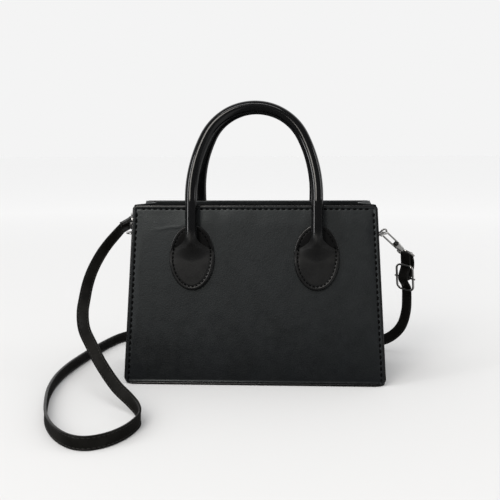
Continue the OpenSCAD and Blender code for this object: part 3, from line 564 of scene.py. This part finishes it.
def closed_tube(name, rings):
    """A closed piece through rings of points, capped at both ends."""
    rows, cols = rings.shape[:2]
    faces = grid_faces(rows, cols, True).tolist()
    faces.append(list(range(cols)))
    faces.append(list(range(rows * cols - 1, (rows - 1) * cols - 1, -1)))
    return mesh_piece(name, rings, faces)


def oval_patch(name, rear, side):
    scale = 1 - tab_edge[:, None] / tab_half[0]
    x, v = tab_half[0] * scale * np.cos(around), tab_half[1] * scale * np.sin(around)
    inset = oval_inset(x, v, *tab_half)
    half = turned_half(inset, patch_t)
    swell = 0.7 * ease(v, 4, 20) * ease(inset, 0.5, 4)
    rim = oval_rim(inset) * (1 - 0.5 * ease(v, 5, 12)) * (inset > 0)
    top = on_wall(side * tab_x + x, tab_s + v, patch_t / 2 + half + rim + swell, rear)
    foot = on_wall(side * tab_x + x, tab_s + v, patch_t / 2 - half, rear)
    return closed_tube(name, np.concatenate([foot[::-1], top]))


def unit(ways):
    ways = np.asarray(ways, float)
    return ways / np.linalg.norm(ways, axis=-1, keepdims=True)


def lengths_along(line):
    """How far along a line each of its points lies."""
    return np.concatenate([[0], np.cumsum(np.linalg.norm(np.diff(line, axis=0), axis=1))])


def arc(angles, r=1.0, x=0.0, y=0.0):
    return np.stack([x + r * np.cos(angles), y + r * np.sin(angles)], 1)


def oval_places(pitch, inset, low, high):
    """Evenly spaced places round an oval inset from a tab's edge, between two heights on the tab."""
    half = tab_half - inset
    fine = np.linspace(0, 2 * math.pi, 2881)
    run = lengths_along(half * arc(fine))
    count = int(round(run[-1] / pitch))
    angle = np.interp((np.arange(count) + 0.5) * run[-1] / count, run, fine)
    x, v = (half * arc(angle)).T
    way = half * np.stack([-np.sin(angle), np.cos(angle)], 1)
    keep = (v >= low) & (v < high)
    return x[keep], v[keep], unit(way)[keep]


def oval_seam(name, rear, side, low, high, out, thread_r):
    x, v, way = oval_places(tab_pitch, tab_seam + 0.1, low, high)
    up, outward = wall_ways(rear)
    alongs = way[:, :1] * [1.0, 0, 0] + way[:, 1:] * up
    sew(name, on_wall(side * tab_x + x, tab_s + v, out, rear), alongs, outward, tab_stitch, thread_r)


patch_leather = leather_finish("matt_calf", (0.0020, 0.0020, 0.0022), (0.0040, 0.0041, 0.0044),
                               gloss=0.50, grain=0.2, specular=0.16)
for where, rear in walls:
    for word, side in both_sides:
        corner = f"{where}_{word}"
        patch = oval_patch(corner + "_patch_leather", rear, side)
        finish_piece(patch, patch_leather, "bag", "leather", corner + "_patch")
        paint_edge(patch, lambda x, s: oval_inset(x - side * tab_x, s - tab_s, *tab_half), 0.9)
        oval_seam(corner + "_patch_stitches", rear, side, shoulder_seam + 0.5, tab_height, patch_t + 0.35,
                  patch_thread_r)

# Handles: each a strip of glossier leather rolled round a rope and glued, its two ends opened out,
# pressed flat and sewn round on the oval tabs. The butted seam lies on the inside of the arch.
handle_r, core_r, handle_rise, arch_lean = 5.0, 3.4, 86.0, math.radians(13.0)
shoulder_r, shoulder_angle, bend_r = 114.0, math.radians(26.5), 30.0
flare_t, flare_inset, flare_thread_r, shoulder_dull, tube_gloss = 1.3, 0.4, 0.55, 0.7, 1.42
leg_out = patch_t + layer_gap + flare_t / 2 + handle_r
neck_top, shoulder_low, dome_low = 17.0, 6.2, -2.6
bend_s, bend_angle = slope_height + 1, arch_lean - front_lean
arch_s = bend_s + bend_r * math.sin(bend_angle)
arch_out = leg_out - bend_r * (1 - math.cos(bend_angle))
arch_z = arch_s * front_cos + arch_out * front_sin
crown_r = (tab_x - shoulder_r * (1 - math.cos(shoulder_angle))) / math.cos(shoulder_angle)
arch_height = (bag_height + handle_rise - handle_r - arch_z) / math.cos(arch_lean)
arch_straight = arch_height - shoulder_r * math.sin(shoulder_angle) - crown_r * (1 - math.sin(shoulder_angle))
crown_v = arch_straight + (shoulder_r - crown_r) * math.sin(shoulder_angle)


def arch_point(x, v):
    return on_wall(x, arch_s + v * math.cos(bend_angle), arch_out - v * math.sin(bend_angle))


def handle_path(foot_s):
    """A front handle's centre line, from a height on its right leg over the crown to the left one."""
    leg = on_wall(tab_x, np.linspace(foot_s, bend_s, 26)[:-1], leg_out)
    turn = np.linspace(0, bend_angle, 6)[:-1]
    bend = on_wall(tab_x, bend_s + bend_r * np.sin(turn), leg_out - bend_r * (1 - np.cos(turn)))
    rise = arch_point(tab_x, np.linspace(0, arch_straight, 6)[:-1])
    turn = np.linspace(0, shoulder_angle, 26)[:-1]
    shoulder = arch_point(tab_x - shoulder_r * (1 - np.cos(turn)), arch_straight + shoulder_r * np.sin(turn))
    turn = np.linspace(shoulder_angle, math.pi / 2, 31)
    crown = arch_point(crown_r * np.cos(turn), crown_v + crown_r * np.sin(turn))
    half = np.concatenate([leg, bend, rise, shoulder, crown])
    return np.concatenate([half, (half * (-1, 1, 1))[-2::-1]])


def rings_round(path, turns, reach):
    """Rings of points round a handle's path, at angles counted from the arch's outer side."""
    along = unit(np.gradient(path, axis=0))
    side = unit(np.cross(along, [0, -math.cos(arch_lean), math.sin(arch_lean)]))
    return path[:, None] + reach[..., None] * (np.cos(turns)[..., None] * side[:, None]
                                               - np.sin(turns)[..., None] * np.cross(along, side)[:, None])


def flare_rings():
    """Rings of a flattened handle end on the right front tab: across, up the tab and out from the wall.
    The rope ends in a low dome, from which the leather spreads into flat shoulders."""
    half_w, half_h = tab_half - flare_inset
    low = -half_h * np.cos(np.linspace(0.04, 1.0, 50) * math.acos(-shoulder_low / half_h))
    v = np.concatenate([low, np.linspace(shoulder_low, neck_top, 34)[1:-1]])[:, None]
    oval = half_w * np.sqrt(np.clip(1 - (v / half_h) ** 2, 0, 1))
    trumpet = handle_r + 13.4 * np.clip((neck_top - v) / (neck_top - shoulder_low), 0, 4) ** 2.0
    a = np.minimum(oval, trumpet) - 0.5 * np.exp(-((v - shoulder_low) / 1.6) ** 2)
    x = a * np.cos(around)
    upper = np.sin(around) > 0
    flat_out = patch_t + layer_gap + flare_t / 2
    inset = np.maximum(oval_inset(x, v, half_w, half_h), 0)
    edge = (1 - np.abs(np.cos(around)) ** 7) ** (1 / 7)
    below = np.clip((shoulder_low - v) / (shoulder_low - dome_low), 0, 0.995)
    reach = np.minimum(a, 14.5) * np.sqrt(1 - below ** 2)
    dome = (2 * handle_r * ease(v, dome_low - 1, neck_top + 1) ** 0.95
            * np.cos(math.pi / 2 * np.clip(np.abs(x) / reach, 0, 1)) ** 1.6)
    rim = oval_rim(inset) * (1 - ease(v, -3, shoulder_low)) * ease(inset, 0, 0.5)
    pared = 1.05 * ease(v, -6, shoulder_low) * (1 - ease(a - np.abs(x), 0, 8)) * edge
    flat = flat_out + np.sign(np.sin(around)) * flare_t / 2 * edge + upper * (dome + rim - pared)
    tube = leg_out + handle_r * np.sin(around)
    rolled = ease(v, shoulder_low + 2, neck_top)
    return x, v + 0 * x, flat + (tube - flat) * rolled


def rolled_handle(name, rear):
    x, v, out = flare_rings()
    foot = on_wall(tab_x + x, tab_s + v, out)
    path = handle_path(tab_s + neck_top)
    seam = 1 - 0.10 * np.exp(-((around - math.pi) / 0.10) ** 2)
    lumps = 1 + 0.006 * np.sin(np.arange(len(path)) / 3.1)[:, None]
    tube = rings_round(path, around, handle_r * seam * lumps)
    far_foot = (foot * (-1, 1, 1))[::-1]
    return closed_tube(name, turned_round(np.concatenate([foot, tube, far_foot]), rear))


def rope_core(name, rear):
    """The filler: three strands of cotton rope, laid with a twist."""
    path = handle_path(tab_s + 12)
    run = lengths_along(path)[:, None]
    turns = around[::2]
    strands = core_r * (1 - 0.11 * (1 - np.abs(np.cos(1.5 * (turns - run / 3.2)))))
    from_end = np.minimum(np.minimum(run, run[-1] - run), 3.0)
    ends = np.sqrt(np.clip(1 - (1 - from_end / 3.0) ** 2, 0.02, 1))
    return closed_tube(name, turned_round(rings_round(path, -turns, strands * ends), rear))


rope = fibre_finish("cotton_rope", (0.42, 0.37, 0.28), (0.60, 0.55, 0.44), 900)
handle_leather = leather_finish("polished_calf", (0.0016, 0.0017, 0.0019), (0.0030, 0.0032, 0.0036),
                                gloss=0.42, grain=0.05, specular=0.60)
rubbed = add_node(handle_leather, "Attribute", {}, attribute_name="dullness", attribute_type="GEOMETRY")
surface = handle_leather.node_tree.nodes["Principled BSDF"].inputs["Roughness"]
dulled = combined(handle_leather, "MULTIPLY", surface.links[0].from_socket, rubbed.outputs["Fac"])
handle_leather.node_tree.links.new(dulled, surface)
for where, rear in walls:
    handle = rolled_handle(where + "_handle_leather", rear)
    handle.data.materials.append(handle_leather)
    dullness = handle.data.attributes.new("dullness", "FLOAT", "POINT")
    height = np.array([point.co.z for point in handle.data.vertices]) * 1000 / front_cos - tab_s
    dull = 1 + shoulder_dull * ease(height, -6, 3) - tube_gloss * ease(height, neck_top - 5, neck_top + 9)
    dullness.data.foreach_set("value", dull.astype(np.float32))
    (on_wall(0, tab_s + 3, leg_out, rear) / 1000).tolist()
    (on_wall(0, tab_s + 24, leg_out, rear) / 1000).tolist()
    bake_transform(handle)
    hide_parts(where + "_handle_cover", where + "_left_flare", where + "_right_flare")
    finish_piece(rope_core(where + "_handle_rope", rear), rope, where + "_handle", "rope",
                 where + "_handle_core")
    for word, side in both_sides:
        oval_seam(f"{where}_{word}_flare_stitches", rear, side, -tab_height, shoulder_seam - 0.5,
                  patch_t + layer_gap + flare_t - 0.08, flare_thread_r)

# Ring tabs: a narrow leather strip folded over the straight bar of each D-ring and sewn to the middle
# of the gusset. The rings are bent from nickel-plated wire and brazed shut.
ring_tab_t, ring_tab_width, ring_tab_length, ring_wire_r, wire_gap = 1.4, 9.0, 20.0, 0.85, 0.08
tab_leaf_low, tab_leaf_top, ring_drop, ring_tab_stitch, ring_tab_thread_r = 0.8, 2.3, 26.8, 2.2, 0.3
ring_v = (bag_height - ring_drop) / side_cos
ring_bar = ring_tab_t + 2 * layer_gap + wire_gap + ring_wire_r
strap_shape = [(1.0, 0.2), (0.985, 0.55), (0.95, 0.86), (0.90, 1.0), (0.84, 1.0), (0.79, 0.88),
               (0.755, 0.66), (0.72, 0.56), (0.685, 0.62), (0.64, 0.72), (0.5, 0.77), (0.25, 0.80),
               (0.0, 0.81)]
upper_half = strap_shape + [(-a, b) for a, b in strap_shape[-2::-1]]
strap_section = np.array(upper_half + [(-a, -b) for a, b in upper_half])


def strip_frames(line, wide):
    """Directions along a strip, across it (wide made square to the line) and out of its face."""
    along = unit(np.gradient(line, axis=0))
    wide = unit(wide - (wide * along).sum(1)[:, None] * along)
    return along, wide, np.cross(wide, along)


def leather_strip(name, line, wide, width, thick):
    """A leather strip swept along its middle line, with raised rims and a groove for each seam."""
    _, wide, out = strip_frames(line, wide)
    across, rise = strap_section.T[..., None]
    thick = np.broadcast_to(thick, len(line))[:, None, None]
    return closed_tube(name, line[:, None] + width / 2 * across * wide[:, None]
                       + thick / 2 * rise * out[:, None])


def values_at(places, run, values):
    """Columns of values that belong to the lengths in run, read off at other places."""
    return np.stack([np.interp(places, run, column) for column in values.T], 1)


def resample(line, step):
    run = lengths_along(line)
    return values_at(np.linspace(0, run[-1], max(3, int(round(run[-1] / step)) + 1)), run, line)


def on_gusset(out, v, y, side):
    """Points out from a gusset's face and v up its slope."""
    x = base_width / 2 - gusset_inset + out * side_cos - v * side_sin
    return np.stack([side * x, y + 0 * x, v * side_cos + out * side_sin], -1)


loop_r = ring_wire_r + wire_gap + ring_tab_t / 2
tab_line = np.concatenate([
    [[tab_leaf_low, -ring_tab_length], [tab_leaf_low, -12], [tab_leaf_low, -6], [0.82, -3], [0.86, -1.2]],
    arc(np.linspace(math.pi, -0.35, 22), loop_r, ring_bar),
    [[3.5, -2.0], [2.75, -3.4], [2.32, -5.0], [tab_leaf_top, -7], [tab_leaf_top, -12],
     [tab_leaf_top, -ring_tab_length]]])
tab_line = resample(tab_line, 0.45)
for where, side in both_sides:
    line = on_gusset(tab_line[:, 0], ring_v + tab_line[:, 1], 0.0, side)
    tab = leather_strip(where + "_ring_tab_leather", line, np.array([0.0, 1, 0]), ring_tab_width - 0.3,
                        ring_tab_t - 0.25)
    finish_piece(tab, leather, "bag", "leather", where + "_ring_tab")
    rows = np.arange(-18.5, -6, 3.1)
    stitch_v = np.tile(rows, 2)
    stitch_y = np.repeat([-0.36, 0.36], len(rows)) * ring_tab_width
    middles = on_gusset(tab_leaf_top + 0.5 + 0 * stitch_v, ring_v + stitch_v, stitch_y, side)
    up = np.array([-side * side_sin, 0, side_cos])
    outward = np.array([side * side_cos, 0, side_sin])
    sew(where + "_ring_tab_stitches", middles, up, outward, ring_tab_stitch, ring_tab_thread_r)
    keep_node(where + "_ring", nickel)

# Clips: a die-cast hook with a slotted shoulder and barrel, a sprung gate on a steel pin, and a swivel
# eye whose headed post turns in the barrel. All of them are polished and nickel plated.
clip_parts = [f"{where}_{part}" for part in ("eye", "hook", "gate", "gate_pin") for where, _ in both_sides]
clip_parts += ["slider_frame", "slider_bar"]
for name in clip_parts:
    keep_node(name, nickel)

# Strap: one long strip of two leathers glued back to back, sewn along both edges so that the rims stand
# up. It hangs from the left clip, runs on edge over the floor round the back, and climbs to the right one.
strap_width, strap_t, fold_t, strap_pitch, strap_thread_r = 10.0, 2.2, 1.8, 3.4, 0.31
ring_half, ring_leg, clip_length, eye_half, eye_leg, eye_wire_r = 6.5, 1.8, 34.5, 7.6, 1.8, 1.0
bar_x = base_width / 2 - gusset_inset + ring_bar * side_cos - ring_v * side_sin
bar_z = ring_v * side_cos + ring_bar * side_sin
eye_bar = clip_length + 0.4 + eye_half + eye_leg + eye_wire_r


def square_to(v, wanted):
    """The direction square to v that is nearest to the wanted one."""
    return unit(np.cross(np.cross(v, wanted), v))


class StrapEnd:
    """Where a strap end meets its clip's eye: origin on the eye's bar, y up the strap, z along the bar."""

    def __init__(self, side, slip, clip, bar, up):
        a = math.radians(slip)
        ring = np.array([side * (bar_x + ring_leg + ring_half * math.cos(a)), ring_half * math.sin(a), bar_z])
        self.clip = unit(clip)
        self.bar = square_to(self.clip, bar)
        self.up = square_to(self.bar, up)
        self.face = np.cross(self.up, self.bar)
        self.eye = ring + eye_bar * self.clip

    def at(self, x, y):
        return self.eye + np.multiply.outer(x, self.face) + np.multiply.outer(y, self.up)


right_end = StrapEnd(1, 50, [0.54, 0.66, -0.50], [-0.86, 0.42, 0.25], [-0.12, -0.20, 0.97])
left_end = StrapEnd(-1, 65, [-0.20, 0.972, 0.12], [-0.05, -0.2, 0.97], [0.21, 0.95, 0.2])

fold_r = eye_wire_r + wire_gap + fold_t / 2
slider_drop, slider_height, slider_wire_r, slider_bar_r, wrap_t = 21.5, 24.0, 1.0, 0.8, 1.2
slider_out = fold_r + slider_wire_r + fold_t / 2 + wire_gap
bulge = slider_wire_r + slider_bar_r + 3 * wire_gap + wrap_t + fold_t
slider_low = -slider_drop - slider_height / 2
right_tail, sewn_half, left_tail = slider_low - 6, fold_t / 2 + layer_gap / 2, -26.0

hanging_run = [
    [-133, 4, 111], [-140, -9, 97], [-143, -23, 84], [-143, -38, 71], [-142, -49, 61],
    [-138, -60, 50], [-129, -73, 40], [-118, -88, 29], [-103, -105, 17], [-89, -119, 10],
    [-81, -131, 7]]
floor_run = [
    [-77, -144], [-78, -159], [-83, -175], [-92, -188], [-104, -194], [-117, -189], [-131, -173],
    [-144, -148], [-154, -116], [-161, -86], [-165, -54], [-165, -22], [-162, 8], [-157, 40],
    [-151, 70], [-143, 96], [-129, 114], [-108, 122], [-75, 122], [-35, 117], [10, 109], [55, 99]]
climbing_run = [[90, 87, 5.4], [108, 79, 7.5], [121, 71, 12], [130, 63, 20], [136, 56, 31], [138.5, 50, 46]]
strap_line = np.array([left_end.at(sewn_half, left_tail), *hanging_run,
                       *([x, y, strap_width / 2 + 0.1] for x, y in floor_run), *climbing_run,
                       right_end.at(fold_r, right_tail)])
width_turns = [(0, left_end.bar), (5, [-1, -0.3, 0]), (8, [-0.57, -0.28, -0.77]), (12, [0, 0, -1]),
               (34, [0, 0, -1]), (37, [0.6, -0.5, -0.6]), (len(strap_line) - 1, -right_end.bar)]


def smooth_line(points, between):
    """A smooth curve through the points, and the number of the point that each place is at."""
    places, numbers = [], []
    last = len(points) - 1
    for i in range(last):
        a, b, c, d = points[max(i - 1, 0)], points[i], points[i + 1], points[min(i + 2, last)]
        for t in np.arange(between) / between:
            places.append((2 * b + (c - a) * t + (2 * a - 5 * b + 4 * c - d) * t * t
                           + (3 * b - a - 3 * c + d) * t ** 3) / 2)
            numbers.append(i + t)
    return np.array([*places, points[-1]]), np.array([*numbers, last])


strap_centres, numbers = smooth_line(strap_line, 9)
turn_numbers, turn_ways = zip(*width_turns)
strap_wide = values_at(numbers, turn_numbers, np.array(turn_ways))
strap_frames = strip_frames(strap_centres, strap_wide)
run = lengths_along(strap_centres)
pared = np.minimum(ease(run, -1, 7), ease(run[-1] - run, -1, 7))
strap_thick = fold_t + (strap_t - fold_t) * pared

strap_leather = leather_finish("strap_calf", (0.0050, 0.0048, 0.0042), (0.0105, 0.0100, 0.0090),
                               gloss=0.32, grain=0.2, specular=0.14)
strap = leather_strip("strap_leather", strap_centres, strap_wide, strap_width, strap_thick)
finish_piece(strap, strap_leather, "bag", "strap_leather", "strap")

# The strap's thread is coloured lighter than the bag's black thread. This is a painted highlight along the
# strap's seams, on top of the thread's own waxed sheen.
waxed_thread_painted_highlight = thread_finish("waxed_thread_painted_highlight", (0.010, 0.010, 0.009), (0.034, 0.033, 0.030), 0.4)
places = np.arange(1.0 + strap_pitch / 2, run[-1] - 1.0, strap_pitch)
centre, ahead, wide, out = (values_at(places, run, ways) for ways in (strap_centres, *strap_frames))
sunk = np.interp(places, run, strap_thick)[:, None] / 2 * 0.60 + 0.1
rows = [(centre + wide * (groove * strap_width / 2) + out * (face * sunk), ahead, out * face)
        for face in (1, -1) for groove in (-0.72, 0.72)]
strap_seams = stitches("strap_stitches", *(np.concatenate(part) for part in zip(*rows)),
                       strap_pitch * 0.7, strap_thread_r)
finish_piece(strap_seams, waxed_thread_painted_highlight, "bag", "strap_leather")

# Folded strap ends: at the left the strap turns round the eye's bar and is sewn back on itself. At the
# right it passes over the slider's bar, round the eye, and back to wrap the same bar from behind.
round_eye = arc(np.linspace(0, math.pi, 20), fold_r)
to_eye = np.array([[sewn_half, -14], [sewn_half, -9], [sewn_half + 0.1, -7],
                   [(sewn_half + fold_r) / 2, -3.5], [fold_r - 0.12, -1.5]])
left_fold = np.concatenate([[[sewn_half, left_tail], [sewn_half, -20]], to_eye, round_eye,
                            to_eye[::-1] * (-1, 1), [[-sewn_half, -19], [-sewn_half, -24]]])
over = np.linspace(slider_low, slider_low + slider_height, 30)
wrap_r = slider_bar_r + wire_gap + wrap_t / 2
front_run = np.concatenate([
    [[fold_r, right_tail], [fold_r, right_tail + 3]],
    np.stack([fold_r + bulge * (1 - np.cos(2 * math.pi * (over - slider_low) / slider_height)) / 2, over], 1),
    round_eye])
back_run = [[-1.5, -0.16], [-2.05, -0.36], [-1.95, -0.56], [-1.2, -0.78], [-0.1, -0.96]]
back_run, _ = smooth_line(np.concatenate([front_run[-1:], np.multiply(back_run, (fold_r, slider_drop))]), 6)
wrap_run = arc(np.radians(np.linspace(240, 500, 26)), wrap_r, slider_out, -slider_drop)
right_fold = np.concatenate([front_run, back_run[1:], wrap_run])
right_thick = np.concatenate([np.full(len(front_run), fold_t), np.linspace(fold_t, wrap_t, len(back_run) - 1),
                              np.full(len(wrap_run), wrap_t)])
for where, end, line, thick in (("left", left_end, left_fold, np.full(len(left_fold), fold_t)),
                                ("right", right_end, right_fold, right_thick)):
    x, y, thick = resample(np.column_stack([line, thick]), 0.6).T
    fold = leather_strip(where + "_strap_fold", end.at(x, y), end.bar, strap_width, thick)
    finish_piece(fold, strap_leather, "bag", "strap_leather", where + "_strap_loop")

# Studio: a plain pale floor that runs into an equally pale background, four soft lamps and a dim
# ceiling, and the camera where the photograph was taken from. Gloss and metal see the floor darker than
# it is, as in the photograph, where black leather mirrors a dark room.
ground, ground_shader = new_material("pale_floor", 0.9, specular=0.0)
place = add_node(ground, "TexCoord", {}).outputs["Object"]
far_off = add_node(ground, "VectorMath", {0: place, 1: (-0.25, -0.6, 0)}, operation="DISTANCE")
reach = mapped(ground, far_off.outputs["Value"], 0, 1, 0.2, 2.4)
near_tone, far_tone = (0.655, 0.655, 0.655), (0.902, 0.902, 0.902)
feed(ground, ground_shader, {"Base Color": two_colours(ground, reach, near_tone, far_tone, 0.0, 1.0)})
sideways = add_node(ground, "SeparateXYZ", {"Vector": place}).outputs["X"]
mirrored = add_node(ground, "BsdfDiffuse", {"Color": mapped(ground, sideways, 0.06, 0.28, 0.10, 0.18)})
glossy_ray = add_node(ground, "LightPath", {}).outputs["Is Glossy Ray"]
either_face = add_node(ground, "MixShader", {0: glossy_ray, 1: ground_shader.outputs["BSDF"],
                                             2: mirrored.outputs["BSDF"]})
feed(ground, ground.node_tree.nodes["Material Output"], {"Surface": either_face.outputs["Shader"]})
bpy.ops.mesh.primitive_plane_add(size=40, location=(0, 0, -0.0002))
floor = bpy.context.object
floor.name = "floor"
floor.data.materials.append(ground)

studio = bpy.data.worlds.new("studio")
bpy.context.scene.world = studio
studio.use_nodes = True
ray = add_node(studio, "LightPath", {}).outputs
way = add_node(studio, "TexCoord", {}).outputs["Generated"]
behind = add_node(studio, "SeparateXYZ", {"Vector": way}).outputs["Y"]
shiny = combined(studio, "MULTIPLY", mapped(studio, behind, 0, 1, 0.1, 0.7), ray["Is Glossy Ray"])
clear = combined(studio, "MAXIMUM", ray["Is Camera Ray"], ray["Is Transmission Ray"])
dimmed = mapped(studio, ray["Is Glossy Ray"], 0.74, 0.10)
room = add_node(studio, "Background", {"Color": (1, 1, 1, 1), "Strength": dimmed}).outputs["Background"]
backdrop = add_node(studio, "Background", {"Color": (0.905, 0.905, 0.905, 1)}).outputs["Background"]
around_bag = add_node(studio, "MixShader", {0: combined(studio, "MAXIMUM", clear, shiny), 1: room,
                                            2: backdrop})
feed(studio, studio.node_tree.nodes["World Output"], {"Surface": around_bag.outputs["Shader"]})


def stand(name, data, where, x, z):
    """Sets up a lamp or the camera at a place, with its own x and z axes along two directions."""
    thing = bpy.data.objects.new(name, data)
    bpy.context.scene.collection.objects.link(thing)
    axes = np.stack([x, np.cross(z, x), z], 1)
    thing.matrix_world = Matrix([[*row, at] for row, at in zip(axes, where)] + [[0, 0, 0, 1]])
    return thing


def softbox(name, where, aim_height, width, height, power, tint=(1, 1, 1)):
    lamp = bpy.data.lights.new(name, "AREA")
    lamp.shape, lamp.size, lamp.size_y, lamp.energy, lamp.color = "RECTANGLE", width, height, power, tint
    back = unit(np.array(where) - (0, 0, aim_height))
    stand(name, lamp, where, unit(np.cross([0, 0, 1], back)), back)


softbox("tall_softbox", (-1.45, -0.90, 0.60), 0.14, 0.34, 1.0, 6.0)
softbox("high_softbox", (-0.56, -1.38, 1.02), 0.10, 0.60, 0.90, 8.8, (1.0, 0.96, 0.90))
softbox("top_softbox", (-0.15, -0.55, 1.30), 0.15, 1.0, 0.14, 2.0)
softbox("right_softbox", (1.7, -0.15, 0.80), 0.12, 0.35, 0.8, 2.4)
daylight = bpy.data.lights.new("ceiling_light", "SUN")
daylight.energy, daylight.angle = 0.9, math.radians(70)
overhead = unit([-0.35, -0.45, 1.0])
ceiling = stand("ceiling_light", daylight, (0, 0, 0), unit(np.cross([0, 1, 0], overhead)), overhead)
ceiling.visible_glossy = False

turned, dipped, rolled = math.radians(3.16), math.radians(7.29), math.radians(-0.24)
level = np.array([math.cos(turned), math.sin(turned), 0])
ahead = np.array([-math.sin(turned) * math.cos(dipped), math.cos(turned) * math.cos(dipped),
                  -math.sin(dipped)])
upright = np.cross(level, ahead)
lens = bpy.data.cameras.new("camera")
lens.lens, lens.sensor_width, lens.sensor_fit = 56.86, 36, "HORIZONTAL"
lens.clip_start, lens.clip_end = 0.05, 60
bpy.context.scene.camera = stand("camera", lens, (0.03255, -0.68459, 0.19597),
                                 level * math.cos(rolled) + upright * math.sin(rolled), -ahead)
bpy.context.scene.view_settings.view_transform = "Standard"
